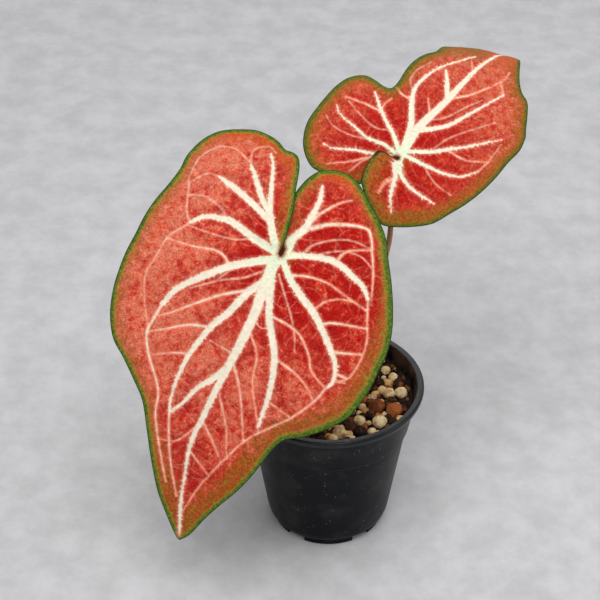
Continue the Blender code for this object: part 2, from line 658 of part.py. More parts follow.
def make_small_stalk():
    green = principled("small stalk", (0.24, 0.15, 0.08), 0.5)
    return make_stalk("stalk_small", SMALL_STALK, SMALL_BLADE, green)


def main():
    for body in list(bpy.data.objects):
        bpy.data.objects.remove(body)
    plant = bpy.data.objects.new("potted caladium", None)
    bpy.context.collection.objects.link(plant)
    for make in (make_pot, make_soil, make_tuber, make_large_stalk, make_small_stalk,
                 make_large_leaf, make_small_leaf):
        body = make()
        body.parent = plant
        print(body.name, sum(len(p.vertices) - 2 for p in body.data.polygons), "triangles")


main()
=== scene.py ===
import bpy
import bmesh
import json
import math
import random
import numpy as np
from mathutils import Matrix, Vector, noise
from mathutils.geometry import delaunay_2d_cdt
from mathutils.kdtree import KDTree

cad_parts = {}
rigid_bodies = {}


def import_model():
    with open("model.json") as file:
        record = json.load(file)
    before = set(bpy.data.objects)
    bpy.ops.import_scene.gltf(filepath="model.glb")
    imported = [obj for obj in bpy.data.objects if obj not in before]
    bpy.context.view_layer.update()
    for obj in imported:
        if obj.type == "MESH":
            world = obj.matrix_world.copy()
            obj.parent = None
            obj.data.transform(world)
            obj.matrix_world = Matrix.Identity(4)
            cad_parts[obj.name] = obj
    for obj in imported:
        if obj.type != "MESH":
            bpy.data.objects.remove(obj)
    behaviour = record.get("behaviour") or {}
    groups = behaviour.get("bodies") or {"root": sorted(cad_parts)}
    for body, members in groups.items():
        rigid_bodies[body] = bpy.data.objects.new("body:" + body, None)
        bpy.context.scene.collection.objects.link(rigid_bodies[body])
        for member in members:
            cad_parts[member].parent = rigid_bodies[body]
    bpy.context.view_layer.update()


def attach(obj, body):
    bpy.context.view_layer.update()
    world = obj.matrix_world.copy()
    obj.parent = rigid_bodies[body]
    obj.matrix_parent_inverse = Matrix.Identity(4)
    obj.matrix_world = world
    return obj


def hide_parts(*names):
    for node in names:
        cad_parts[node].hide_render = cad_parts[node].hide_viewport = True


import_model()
mm = 0.001


# small helpers for node trees

def srgb(red, green, blue):
    # a colour as seen on screen, 0 to 255, made linear
    def linear(value):
        value /= 255.0
        return value / 12.92 if value <= 0.04045 else ((value + 0.055) / 1.055) ** 2.4
    return (linear(red), linear(green), linear(blue), 1.0)


def addNode(tree, kind, inputs=None, **settings):
    made = tree.nodes.new(kind)
    for name, value in settings.items():
        setattr(made, name, value)
    for key, value in (inputs or {}).items():
        if isinstance(value, bpy.types.NodeSocket):
            tree.links.new(value, made.inputs[key])
        else:
            made.inputs[key].default_value = value
    return made


def calc(tree, operation, first, second=0.0, third=0.0, clamp=False):
    return addNode(tree, "ShaderNodeMath", {0: first, 1: second, 2: third},
                   operation=operation, use_clamp=clamp).outputs[0]


def ease(tree, value, start, end, low=0.0, high=1.0):
    # low at start, high at end, with a soft change between
    return addNode(tree, "ShaderNodeMapRange",
                   {"Value": value, "From Min": start, "From Max": end,
                    "To Min": low, "To Max": high},
                   interpolation_type="SMOOTHSTEP").outputs[0]


def blend(tree, amount, first, second, how="MIX"):
    made = addNode(tree, "ShaderNodeMix", data_type="RGBA", blend_type=how)
    for index, value in ((0, amount), (6, first), (7, second)):
        if isinstance(value, bpy.types.NodeSocket):
            tree.links.new(value, made.inputs[index])
        else:
            made.inputs[index].default_value = value
    return made.outputs[2]


def noiseAt(tree, place, scale, detail=2.0, rough=0.5, distortion=0.0):
    return addNode(tree, "ShaderNodeTexNoise",
                   {"Vector": place, "Scale": scale, "Detail": detail, "Roughness": rough,
                    "Distortion": distortion}).outputs[0]


def newMaterial(name):
    made = bpy.data.materials.new(name)
    made.use_nodes = True
    tree = made.node_tree
    return made, tree, tree.nodes["Principled BSDF"]


def newGroup(name, inputs, outputs):
    tree = bpy.data.node_groups.new(name, "ShaderNodeTree")
    for label, kind, start in inputs:
        socket = tree.interface.new_socket(name=label, in_out="INPUT", socket_type=kind)
        if start is not None:
            socket.default_value = start
    for label, kind in outputs:
        tree.interface.new_socket(name=label, in_out="OUTPUT", socket_type=kind)
    return tree, tree.nodes.new("NodeGroupInput"), tree.nodes.new("NodeGroupOutput")


def useGroup(tree, group, inputs):
    made = addNode(tree, "ShaderNodeGroup", node_tree=group)
    for key, value in inputs.items():
        if isinstance(value, bpy.types.NodeSocket):
            tree.links.new(value, made.inputs[key])
        else:
            made.inputs[key].default_value = value
    return made


def makeSpeckleGroup():
    # fine light and dark flecks: multiplies a colour, and gives a height for bump
    tree, start, end = newGroup(
        "speckle",
        [("Vector", "NodeSocketVector", None), ("Scale", "NodeSocketFloat", 1.0),
         ("Strength", "NodeSocketFloat", 0.2)],
        [("Tint", "NodeSocketFloat"), ("Height", "NodeSocketFloat")])
    coarse = noiseAt(tree, start.outputs["Vector"], start.outputs["Scale"], 3.0, 0.6)
    finer = calc(tree, "MULTIPLY", start.outputs["Scale"], 3.7)
    fine = noiseAt(tree, start.outputs["Vector"], finer, 2.0, 0.6)
    both = calc(tree, "ADD", calc(tree, "MULTIPLY", coarse, 0.6), calc(tree, "MULTIPLY", fine, 0.4))
    spread = calc(tree, "MULTIPLY", calc(tree, "SUBTRACT", both, 0.5), 2.0)
    tint = calc(tree, "MULTIPLY_ADD", spread, start.outputs["Strength"], 1.0)
    tree.links.new(tint, end.inputs["Tint"])
    tree.links.new(both, end.inputs["Height"])
    return tree


def makeDustGroup():
    # pale flecks and a thin broken film of dust: one mask
    tree, start, end = newGroup(
        "dust",
        [("Vector", "NodeSocketVector", None), ("Flecks", "NodeSocketFloat", 0.5),
         ("Film", "NodeSocketFloat", 0.3)],
        [("Mask", "NodeSocketFloat")])
    cells = addNode(tree, "ShaderNodeTexVoronoi",
                    {"Vector": start.outputs["Vector"], "Scale": 520.0, "Randomness": 1.0})
    rare = noiseAt(tree, start.outputs["Vector"], 170.0, 2.0)
    dots = calc(tree, "MULTIPLY", ease(tree, cells.outputs["Distance"], 0.26, 0.10),
                ease(tree, rare, 0.53, 0.62))
    film = ease(tree, noiseAt(tree, start.outputs["Vector"], 60.0, 5.0, 0.65), 0.45, 0.8)
    mask = calc(tree, "ADD", calc(tree, "MULTIPLY", dots, start.outputs["Flecks"]),
                calc(tree, "MULTIPLY", film, start.outputs["Film"]), clamp=True)
    tree.links.new(mask, end.inputs["Mask"])
    return tree


speckle = makeSpeckleGroup()
dust = makeDustGroup()


# mesh helpers

def finishPiece(name, points, faces, material, smoothAngle=None, flip=True):
    # points in millimetres; the object stays at the origin
    mesh = bpy.data.meshes.new(name)
    mesh.from_pydata([tuple(p) for p in np.asarray(points, float) * mm], [], faces)
    if flip:
        work = bmesh.new()
        work.from_mesh(mesh)
        bmesh.ops.recalc_face_normals(work, faces=work.faces)
        if work.calc_volume(signed=True) < 0:
            bmesh.ops.reverse_faces(work, faces=work.faces)
        work.to_mesh(mesh)
        work.free()
    mesh.materials.append(material)
    mesh.shade_smooth()
    if smoothAngle:
        mesh.set_sharp_from_angle(angle=math.radians(smoothAngle))
    piece = bpy.data.objects.new(name, mesh)
    bpy.context.scene.collection.objects.link(piece)
    return piece


def floatAttribute(mesh, name, values):
    mesh.attributes.new(name, "FLOAT", "POINT").data.foreach_set("value", np.asarray(values, np.float32))


def settle(piece):
    # turns modifiers into plain mesh
    graph = bpy.context.evaluated_depsgraph_get()
    mesh = bpy.data.meshes.new_from_object(piece.evaluated_get(graph))
    piece.modifiers.clear()
    piece.data = mesh


def declare(piece, node):
    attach(piece, "root")
    if node:
        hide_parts(node)


def smoothStep(low, high, value):
    t = np.clip((value - low) / (high - low), 0, 1)
    return t * t * (3 - 2 * t)


def smoothLine(points, spacing):
    # evenly spaced points on a smooth line through the given ones
    p = [np.array(q, float) for q in points]
    p = [2 * p[0] - p[1]] + p + [2 * p[-1] - p[-2]]
    dense = []
    for k in range(1, len(p) - 2):
        a, b, c, d = p[k - 1:k + 3]
        for t in np.linspace(0, 1, 12, endpoint=False):
            dense.append(0.5 * (2 * b + (c - a) * t + (2 * a - 5 * b + 4 * c - d) * t * t
                                + (3 * b - a - 3 * c + d) * t ** 3))
    dense = np.array(dense + [p[-2]])
    length = np.concatenate([[0], np.cumsum(np.linalg.norm(np.diff(dense, axis=0), axis=1))])
    at = np.linspace(0, length[-1], max(2, int(round(length[-1] / spacing)) + 1))
    return np.stack([np.interp(at, length, dense[:, k]) for k in range(dense.shape[1])], 1)


# the leaves: drawn flat in millimetres, x across and y towards the back lobes, then bent

largeLeaf = {
    "hub": (-22.3, -3.3, 154.2), "elevation": 36.0, "heading": 0.0, "roll": 19.8,
    "bend": [(-90, 18), (-50, 18), (0, 9), (60, -3), (170, -26)], "bendTurn": 0.0,
    "rise": 0.10, "droop": 0.0022,
    "waves": [(1.2, 3, 20), (0.7, 7, 100)], "waveCentre": -45.0, "waveReach": 90.0,
    "seam": [(-0.5, 0), (-0.5, 5), (-0.5, 12), (-1, 21), (-1.8, 28), (-2, 34), (-2.5, 50)],
    "lapWidth": 14.0, "lap": (1.0, 5.5, 3.5, 10), "slide": (0.0, 4.5), "raise": (1.2, 1.6),
    "nearSide": [(-0.45, 0.9), (-0.52, 1.6), (-0.52, 3.4), (-0.7, 5.5), (-1, 11), (-2, 21.5),
                 (-4, 30.5), (-5.2, 37.5), (-6.4, 42.4), (-8.2, 45.5), (-11, 46.8),
                 (-14.7, 47), (-18.6, 49.6), (-23, 51.2), (-29.5, 52), (-36, 50.6),
                 (-43, 48), (-48, 44.5), (-52.3, 38.6), (-55.5, 30.2), (-56.2, 23),
                 (-58.6, 14.2), (-61.6, 5.6), (-63.6, -3), (-64.6, -12), (-65.8, -21),
                 (-66, -30), (-65.4, -39), (-63, -49.6), (-58, -59.5), (-50.3, -66.6),
                 (-42, -75), (-36.2, -81.6), (-30.7, -92), (-24.7, -104), (-17, -118),
                 (-10, -127.6), (-2.4, -137), (0, -138.6)],
    "farSide": [(0, -138.6), (3.6, -133.8), (7.4, -124), (11.8, -115), (16.3, -107),
                (20.1, -98.5), (23, -90), (25.6, -82), (29, -76.5), (35.3, -73),
                (41.7, -68.5), (46.3, -64.4), (52, -58), (54.8, -51.2), (57.3, -42),
                (58.3, -32), (59, -24.4), (58, -15.3), (55, -5.4), (50.5, 5.4),
                (46, 14.3), (41.2, 24.2), (35.2, 31.2), (30, 36), (25.2, 40.8),
                (19.2, 45), (13.5, 46.2), (9.1, 45), (6, 43), (3.2, 38.3), (1, 31.5),
                (0, 25), (0, 14), (-0.2, 6), (-0.38, 3.2), (-0.38, 1.6), (-0.45, 0.9)],
    "spurGap": (1.2, 3.2), "twigGap": (8.5, 12.0), "seed": 3, "quilt": 0.85,
    # each vein is its widths, spread evenly along it, and its points
    "main": [
        ([4.9, 4.4, 4.0, 3.6, 3.1, 2.4, 2.0, 1.2, 0.5, 1.3, 0.7],
         [(0, 0), (-2, -5.5), (-2.5, -17.5), (-2.5, -30.5), (-4, -44), (-5.5, -54.5), (-7, -65),
          (-8.5, -79.5), (-9.5, -88), (-9.3, -97), (-7.5, -107), (-5.5, -118.5), (-0.8, -136.5)]),
        ([3.2, 3.2, 3.1, 2.8, 2.2, 1.7],
         [(-0.5, -1), (-11.5, -7), (-20.5, -12.5), (-30.5, -21), (-39, -30), (-42.5, -38)]),
        ([3.2, 3.0, 2.8, 2.4, 1.9, 1.5, 0.8, 0.6],
         [(-3, -13), (-8.5, -20.5), (-13.5, -31.5), (-19, -41), (-23.5, -55), (-25, -68),
          (-24.5, -77), (-23, -83)]),
        ([3.0, 3.1, 3.1, 2.6, 1.9, 1.2],
         [(-3, 1), (-14, 3.5), (-25, 7), (-31, 7), (-38, 5.5), (-43, 1)]),
        ([3.4, 3.0, 2.5], [(-2, 1.5), (-6, 6.5), (-8.5, 11), (-11.5, 17)]),
        ([2.5, 2.3, 2.1, 1.6, 0.6], [(-11.5, 17), (-16.5, 21.5), (-22.5, 29.5), (-27, 35.5)]),
        ([2.4, 1.8, 1.4, 1.0, 0.6],
         [(-11.5, 17), (-13, 22), (-15.5, 31.5), (-17.5, 38.5), (-20, 43)]),
        ([2.4, 2.5, 2.6, 2.4, 0.9], [(-10.5, 13.5), (-23, 19.5), (-34.5, 24), (-38.5, 25.3)]),
        ([2.8, 2.3, 1.6, 1.1, 0.7],
         [(-6.5, -56), (-10, -61.5), (-15, -67.5), (-19, -76), (-23, -81.5)]),
        ([3.0, 2.9, 2.8, 2.6, 2.4, 1.7, 0.8],
         [(-1.5, -8), (-0.3, -12), (1.5, -19), (4.5, -28), (10.5, -39), (13, -45), (15, -54),
          (16, -63.5), (16, -75)]),
        ([2.6, 2.7, 2.9, 2.9, 2.6, 2.3, 1.4, 0.8],
         [(1, -1), (7, -8), (14, -13.5), (21.5, -18.5), (28, -24.5), (34.5, -31.5),
          (39, -37.5), (40.5, -44.5), (39.3, -47.5)]),
        ([2.7, 2.3, 2.4, 2.6, 2.5, 2.0, 1.1],
         [(1, 0), (5, 2.2), (9, 3.5), (17.5, 5.5), (25, 5.5), (32.5, 2.5), (39, -0.5),
          (43, -5)]),
        ([3.0, 2.7, 2.4, 2.0, 1.4, 0.7],
         [(0.8, 1.0), (2.5, 5), (6, 10), (8.7, 16.5), (9.5, 22.5), (10, 30.5), (9, 37)]),
    ],
    "thin": [
        ([1.8, 1.5, 1.3, 1.1, 0.9],
         [(-42.5, -38), (-44, -46.5), (-44.5, -52.5), (-40.5, -61), (-33.5, -70.5),
          (-30.5, -76.5), (-28.5, -86), (-20, -103), (-14.5, -113)]),
        ([1.2, 1.1, 0.8], [(-23, -83), (-21.5, -88), (-16.5, -101), (-8, -118)]),
        ([1.4, 1.3, 1.0, 0.8], [(-20.5, -11.5), (-24, -8.5), (-29, -7.5), (-38, -9), (-50, -9.5)]),
        ([1.0, 0.9, 0.7, 0.7],
         [(-43, 1), (-46, -3), (-50.5, -9), (-52.5, -19.5), (-54, -28), (-50, -40),
          (-44.5, -50)]),
        ([0.8, 0.7, 0.7], [(-50, 18), (-48, 10), (-46, 4), (-43.5, 1)]),
        ([0.8, 0.6, 0.6], [(-38.5, 25.3), (-44, 24.5), (-50, 18)]),
        ([1.7, 1.5, 1.2, 0.8],
         [(-9, -19.5), (-19.5, -25.5), (-29, -33), (-38, -40.5), (-43.5, -44)]),
        ([1.9, 1.5, 1.2, 0.8], [(-19, -40.5), (-28, -42.5), (-37, -47.5), (-44, -51.5)]),
        ([1.4, 0.9, 0.6], [(-23.5, -54.5), (-30.5, -56.5), (-40, -61)]),
        ([1.6, 1.1, 0.9, 0.7], [(-4.5, -51), (1, -59), (5, -66.5), (10.5, -79.5), (12, -83)]),
        ([1.0, 0.8, 0.6], [(-3, -35), (4.5, -44.5), (7, -57), (12.5, -68), (17, -77)]),
        ([1.2, 0.8, 0.6], [(-7, -64), (2.5, -79.5), (6, -89), (8, -93)]),
        ([1.1, 0.8, 0.6], [(-9, -80), (0, -89), (6, -96)]),
        ([1.0, 0.7, 0.5], [(-8.5, -96), (3, -104)]),
        ([1.0, 0.8, 0.5], [(-9.5, -84), (-16, -93), (-23, -95)]),
        ([1.5, 1.1, 1.0, 0.7],
         [(4, -26.5), (14, -28), (20.5, -31), (26.5, -37.5), (30, -43.5), (38, -48.5)]),
        ([1.4, 1.2, 0.9, 0.7], [(12.5, -43.5), (23.5, -47), (30.5, -51), (34.5, -55)]),
        ([1.0, 0.8, 0.6], [(16, -62.5), (28, -66)]),
        ([1.3, 1.0, 1.0, 0.9, 0.8, 0.6],
         [(39.3, -47.5), (38, -50), (35.5, -56), (28.5, -66), (19.5, -75), (12.5, -83),
          (6, -96), (0.5, -109.5), (-3, -124)]),
        ([1.6, 1.1, 0.8, 0.7],
         [(7, -6.5), (15, -4.5), (24, -4.5), (31, -6.5), (38.5, -8.5), (44, -10)]),
        ([1.0, 0.8, 0.7], [(21.5, -18), (25.5, -12.5), (32, -9), (38.5, -8.5)]),
        ([1.6, 1.2, 1.0], [(27, -22.5), (33, -20), (46.5, -17.5)]),
        ([1.8, 1.3, 1.0], [(35.5, -32.5), (43.5, -30.5), (48.5, -29)]),
        ([1.5, 0.9], [(40.3, -41), (46, -41.3)]),
        ([0.8, 0.7], [(40.5, -44.5), (45.5, -43.5)]),
        ([1.2, 0.9, 0.8, 0.7],
         [(43, -5), (45.5, -13.5), (48.5, -22), (49, -30.5), (46.5, -41), (40.5, -44.5)]),
        ([1.5, 1.0, 0.7], [(24, 5.5), (27, 12), (37, 16.5)]),
        ([1.6, 1.2, 0.8], [(9.7, 20), (13.5, 27), (17.5, 32), (21.5, 35)]),
        ([2.2, 1.9, 1.5, 1.0, 0.7],
         [(8.8, 15), (15.5, 20.5), (23, 23.5), (31.5, 25), (35, 22), (38, 15), (41.5, 6),
          (45, -7)]),
        ([0.9, 0.6], [(-4, -8), (-12, -14.5), (-22, -19.5), (-33, -27)]),
        ([0.9, 0.6, 0.5], [(1.8, -8), (6, -14), (12, -22), (17, -30), (20, -38)]),
        ([0.6, 0.5], [(-27, 36), (-36, 40), (-44, 38), (-50, 30), (-51, 18)]),
        ([0.6, 0.5], [(-27, 35), (-28, 42), (-22, 46), (-18, 44)]),
        ([0.8, 0.5], [(-14, 3.5), (-22, 0), (-32, -1), (-44, -1)]),
        ([0.9, 0.6], [(-27, 7.2), (-34, 12), (-42, 14), (-49, 12)]),
        ([0.8, 0.5], [(8, 3), (16, 12), (26, 17), (37, 17)]),
        ([0.7, 0.5], [(14, 5), (24, 11), (33, 12), (41, 8)]),
        ([0.8, 0.5], [(-5, -48), (-11, -47), (-17, -46)]),
        ([0.8, 0.5], [(-3, -30), (2.5, -33), (6.5, -31.5)]),
        ([0.7, 0.5], [(-14, -9), (-20, -15), (-24, -21)]),
    ],
}

smallLeaf = {
    "hub": (31.6, 42.4, 178.0), "elevation": 51.4, "heading": 5.6, "roll": -126.5,
    "bend": [(-70, 14), (-30, 10), (0, 0), (51, -12.5), (64.5, -32), (76, -74), (87, -98),
             (120, -112)],
    "bendTurn": 36.6,
    "rise": 0.10, "droop": 0.0030,
    "waves": [(0.8, 3, 200), (0.6, 7, 40)], "waveCentre": -28.0, "waveReach": 58.0,
    "seam": [(0.6, 0), (0.7, 3), (0.9, 9), (0.8, 15), (0.7, 20), (0.5, 34)],
    "lapWidth": 10.0, "lap": (0.6, 4, 1.2, 6), "slide": (8.0, 1.0), "raise": (2.2, 1.0),
    "nearSide": [(0.4, 0.6), (0.3, 2.5), (0.3, 5.5), (0, 9), (-0.8, 12.5), (-1.8, 16),
                 (-4, 21), (-7, 23.5), (-13, 26.5), (-18.5, 27), (-23, 23.5), (-28.5, 17),
                 (-33.3, 9), (-35, 0), (-36.3, -9), (-36.6, -18), (-35.8, -28),
                 (-34, -37.5), (-33, -46), (-30.3, -52), (-28.6, -54), (-26.7, -56),
                 (-21, -62.5), (-17, -66), (-12, -67.7), (-6.8, -71.5), (-1, -78),
                 (5, -86), (16.5, -99)],
    "farSide": [(16.5, -99), (23, -89), (28, -80), (32.5, -73), (33.5, -66), (32.5, -59),
                (31.2, -53.5), (32.5, -48.5), (33, -43), (32.5, -37.5), (31, -32),
                (28.8, -26), (28.3, -21), (31.4, -19), (36.2, -18.3), (41, -17),
                (44, -13.7), (45.8, -9), (46, -4), (45.5, 1), (43.5, 10.7), (40.7, 20),
                (35.7, 27), (30, 31.3), (23, 33.5), (17, 32), (12, 30.5), (7, 27.5),
                (3.5, 23), (2, 17), (1.7, 10), (1.3, 3), (0.9, 1.2), (0.4, 0.6)],
    "spurGap": (1.2, 3.2), "twigGap": (8.5, 12.0), "seed": 8, "quilt": 0.6,
    "main": [
        ([4.4, 4.0, 3.4, 3.0, 2.4, 1.7, 1.2, 0.9, 0.6],
         [(0, 0), (2.5, -8), (5, -16), (6.5, -29.5), (7.5, -39), (9.5, -51), (11, -61),
          (11.5, -72), (13, -84), (16, -97)]),
        ([3.0, 2.9, 2.4, 1.5, 0.9, 0.7, 0.6],
         [(1.5, -4), (8, -14.5), (16.5, -23), (21, -29), (22.5, -35.5), (22.5, -46),
          (20, -55), (17, -66)]),
        ([2.0, 1.8, 1.3, 0.8, 0.4],
         [(0, -4.5), (-7.5, -13), (-12, -20.5), (-17, -29), (-24, -43)]),
        ([1.9, 1.7, 1.3, 0.9, 0.5],
         [(-0.5, -2.5), (-13, -7.5), (-20, -11), (-25.5, -16), (-28.5, -23.5)]),
        ([2.1, 1.9, 1.4, 1.0, 0.5],
         [(-0.5, 0), (-4.8, 3.2), (-8.3, 6.5), (-10.2, 10.5), (-13.2, 16), (-17.8, 20)]),
        ([2.2, 1.9, 1.6, 1.3, 0.8], [(1, -1), (9, -5), (18, -7.5), (24.5, -10), (31.5, -13.5)]),
        ([1.7, 1.5, 1.2, 0.8, 0.4],
         [(1.5, 0), (6, 0.5), (10, 1.5), (17, 5), (26, 6), (34, 6.5), (38, 4.5)]),
        ([1.4, 1.3, 1.0, 0.5], [(2.2, 1.5), (6, 5), (10, 8.5), (16, 13.5), (22.5, 20), (27.5, 22)]),
        ([1.9, 1.6, 1.2, 0.5], [(-4.5, 3.0), (-8, 4.6), (-12, 5.8), (-17, 5.5), (-27, 2.5)]),
        ([2.6, 1.9, 1.4, 1.0, 0.7],
         [(3.5, -17), (-2.5, -27.5), (-4.5, -38), (-6, -49.5), (-7.5, -60)]),
        ([2.5, 2.1, 1.1], [(7.3, -37.5), (12, -41.5), (15, -44.5), (19.5, -48)]),
    ],
    "thin": [
        ([1.5, 1.1, 0.6], [(18.5, -23.5), (23, -22.5), (27, -23)]),
        ([1.4, 1.0, 0.5], [(7, -25.5), (10, -28), (13.5, -30.5)]),
        ([1.2, 0.8, 0.5], [(11, -57.5), (13, -59.5), (16, -62)]),
        ([1.1, 0.8, 0.6], [(-7.5, -60), (-3, -63), (-1.5, -65)]),
        ([1.5, 1.1, 0.8, 0.6], [(7, -38.5), (4, -44), (2, -49), (-1.5, -65), (0, -72)]),
        ([1.2, 0.9, 0.5], [(-12, -19.5), (-20.5, -22.5), (-28.5, -30.5)]),
        ([0.9, 0.6], [(-28.5, -23.5), (-28, -30), (-25.5, -41)]),
        ([1.2, 1.0, 0.7, 0.5], [(7, 6), (9.5, 11), (13, 18.5), (19, 27.5)]),
        ([1.2, 0.9, 0.5], [(-9.3, 8.5), (-8.5, 13), (-9.5, 19)]),
        ([1.3, 1.0, 0.6], [(22, -9), (28, -6.5), (31.5, -5), (38.5, -1.5)]),
        ([1.1, 0.6], [(23, -9.5), (24, -13), (24, -17)]),
        ([0.9, 0.5], [(9.5, 11), (10, 16), (10, 22.5)]),
        ([0.9, 0.5], [(6, -22), (1, -30), (-1, -40), (-3, -50)]),
        ([0.8, 0.5], [(-7, -13), (-8, -24), (-12, -36), (-16, -46)]),
        ([0.8, 0.5], [(20, -27), (26, -31), (28, -38), (27, -46)]),
        ([0.8, 0.5], [(12, -6), (18, -1), (27, 0), (36, -1)]),
        ([0.8, 0.5], [(14, 3), (22, 10), (31, 13), (37, 12)]),
        ([0.8, 0.5], [(-10, -6), (-20, -4), (-29, -6)]),
    ],
}

bladeBuild = {"thickness": 0.8, "seat": (0.0, -2.4), "seatDepth": 2.4, "seatRadius": 2.7,
              "lattice": 1.0, "veinStep": 0.85, "edgeStep": 0.95}


def leafAxes(leaf):
    rise, heading, roll = (math.radians(leaf[k]) for k in ("elevation", "heading", "roll"))
    out = np.array([math.sin(heading) * math.cos(rise),
                    -math.cos(heading) * math.cos(rise), math.sin(rise)])
    side = np.array([math.cos(heading), math.sin(heading), 0.0])
    upslope = np.cross(out, side)
    return (math.cos(roll) * side - math.sin(roll) * upslope,
            math.cos(roll) * upslope + math.sin(roll) * side, out)


def seamSide(leaf, x, y):
    seam = np.array(leaf["seam"], float)
    return x - np.interp(y, seam[:, 1], seam[:, 0])


def placeOnLeaf(leaf, x, y, lift):
    # carries points of the flat drawing to the bent and waved blade
    x, y, lift = (np.asarray(v, float) for v in (x, y, lift))
    across, back, out = leafAxes(leaf)
    offset = seamSide(leaf, x, y)
    near = np.exp(-(offset / leaf["lapWidth"]) ** 2)
    onTop = offset < 0
    raiseFrom, raiseTo, slideFrom, slideTo = leaf["lap"]
    raised = smoothStep(raiseFrom, raiseTo, y) * near
    slid = smoothStep(slideFrom, slideTo, y) * near
    shifted = x + np.where(onTop, leaf["slide"][0], -leaf["slide"][1]) * slid
    lap = np.where(onTop, leaf["raise"][0], -leaf["raise"][1]) * raised
    height = leaf["rise"] * (np.sqrt(x * x + 16) - 4) - leaf["droop"] * x * x
    radius = np.hypot(x, y - leaf["waveCentre"])
    angle = np.arctan2(x, y - leaf["waveCentre"])
    for size, count, start in leaf["waves"]:
        height = height + size * (radius / leaf["waveReach"]) ** 3 * np.sin(
            count * angle + math.radians(start))
    turn = math.radians(leaf["bendTurn"])
    q = shifted * math.sin(turn) - y * math.cos(turn)
    a = shifted * math.cos(turn) + y * math.sin(turn)
    qAxis = math.sin(turn) * across - math.cos(turn) * back
    aAxis = math.cos(turn) * across + math.sin(turn) * back
    stations = np.array(leaf["bend"], float)
    at = np.arange(stations[0, 0], stations[-1, 0] + 0.5, 0.5)
    slopes = np.radians(np.interp(at, stations[:, 0], stations[:, 1]))
    runs = np.concatenate([[0], np.cumsum((np.cos(slopes[1:]) + np.cos(slopes[:-1])) / 4)])
    rises = np.concatenate([[0], np.cumsum((np.sin(slopes[1:]) + np.sin(slopes[:-1])) / 4)])
    slope = np.interp(q, at, slopes)[..., None]
    run = (np.interp(q, at, runs) - np.interp(0, at, runs))[..., None]
    rise = (np.interp(q, at, rises) - np.interp(0, at, rises))[..., None]
    face = -np.sin(slope) * qAxis + np.cos(slope) * out
    return (np.array(leaf["hub"]) + a[..., None] * aAxis + run * qAxis + rise * out
            + (height + lap + lift)[..., None] * face)


def insideOutline(outline, x, y):
    hit = np.zeros(len(x), bool)
    for (x1, y1), (x2, y2) in zip(outline, np.roll(outline, -1, axis=0)):
        if y1 != y2:
            cross = ((y1 > y) != (y2 > y)) & (x < (x2 - x1) * (y - y1) / (y2 - y1) + x1)
            hit ^= cross
    return hit


def nearestAlong(x, y, line, widths):
    # distance to a line of close points, less the half width there, and that half width
    best = np.full(len(x), 1e3)
    half = np.zeros(len(x))
    for start in range(0, len(x), 4000):
        part = slice(start, start + 4000)
        d = np.hypot(x[part, None] - line[None, :, 0], y[part, None] - line[None, :, 1])
        d = d - widths[None, :] / 2
        pick = d.argmin(1)
        best[part] = d[np.arange(len(pick)), pick]
        half[part] = widths[pick] / 2
    return best, half


def nearestThin(x, y, lines, widths):
    tree = KDTree(len(lines))
    for k, (u, v) in enumerate(lines):
        tree.insert((u, v, 0), k)
    tree.balance()
    return np.array([min(d - widths[k] / 2 for _, k, d in tree.find_n((u, v, 0), 5))
                     for u, v in zip(x, y)])


def veinLine(vein, spacing):
    # a vein is its widths, spread evenly along it, and its points
    line = smoothLine(vein[1], spacing)
    share = np.linspace(0, 1, len(line))
    return line, np.interp(share, np.linspace(0, 1, len(vein[0])), vein[0])


def veinPoints(veins, spacing):
    made = [veinLine(vein, spacing) for vein in veins]
    return np.concatenate([m[0] for m in made]), np.concatenate([m[1] for m in made])


def growTwigs(leaf, outline):
    # short spurs along the wide veins, and long twigs that run on to the next vein
    draw = random.Random(leaf["seed"])
    lines = [veinLine(vein, 0.5) for vein in leaf["main"] + leaf["thin"]]
    marks = [(u, v, k) for k, (line, _) in enumerate(lines) for u, v in line]
    tree = KDTree(len(marks))
    for k, (u, v, _) in enumerate(marks):
        tree.insert((u, v, 0), k)
    tree.balance()

    def turned(way, angle):
        c, s = math.cos(angle), math.sin(angle)
        return np.array((way[0] * c - way[1] * s, way[0] * s + way[1] * c))

    spurs, twigs = [], []
    for number, (line, widths) in enumerate(lines):
        isMain = number < len(leaf["main"])
        gap = leaf["twigGap"][0 if isMain else 1]
        along = np.gradient(line, axis=0)
        along /= np.linalg.norm(along, axis=1)[:, None]
        for side in (-1, 1):
            spurLeft, twigLeft = draw.uniform(1, 2), draw.uniform(1, gap)
            for k in range(4, len(line) - 3):
                spurLeft -= 0.5
                twigLeft -= 0.5
                if twigLeft <= 0:
                    twigLeft = gap * draw.uniform(0.7, 1.3)
                    way = turned(along[k], side * math.radians(draw.uniform(52, 78)))
                    curl = draw.uniform(-0.11, 0.04) * side
                    at = line[k] + way * widths[k] * 0.3
                    points = [at]
                    for step in range(draw.randint(8, 20) if isMain else draw.randint(5, 9)):
                        curl += draw.uniform(-0.05, 0.05)
                        way = turned(way, curl)
                        at = at + way * 0.8
                        _, hit, far = tree.find((at[0], at[1], 0))
                        if marks[hit][2] != number and far < 0.5:
                            break
                        points.append(at)
                    if len(points) > 3:
                        twigs.append(([draw.uniform(0.55, 0.85), 0.5, 0.25], points))
                if spurLeft <= 0 and isMain:
                    spurLeft = draw.uniform(*leaf["spurGap"])
                    way = turned(along[k], side * math.radians(draw.uniform(40, 70)))
                    start = line[k] + way * widths[k] * 0.3
                    long = widths[k] * 0.2 + draw.uniform(0.3, 0.9)
                    spurs.append(([draw.uniform(0.6, 0.95), 0.15],
                                  [start, start + way * long * 0.5, start + way * long]))
    inside = lambda vein: insideOutline(outline, *np.array(vein[1]).T).all()
    return [v for v in spurs if inside(v)], [v for v in twigs if inside(v)]


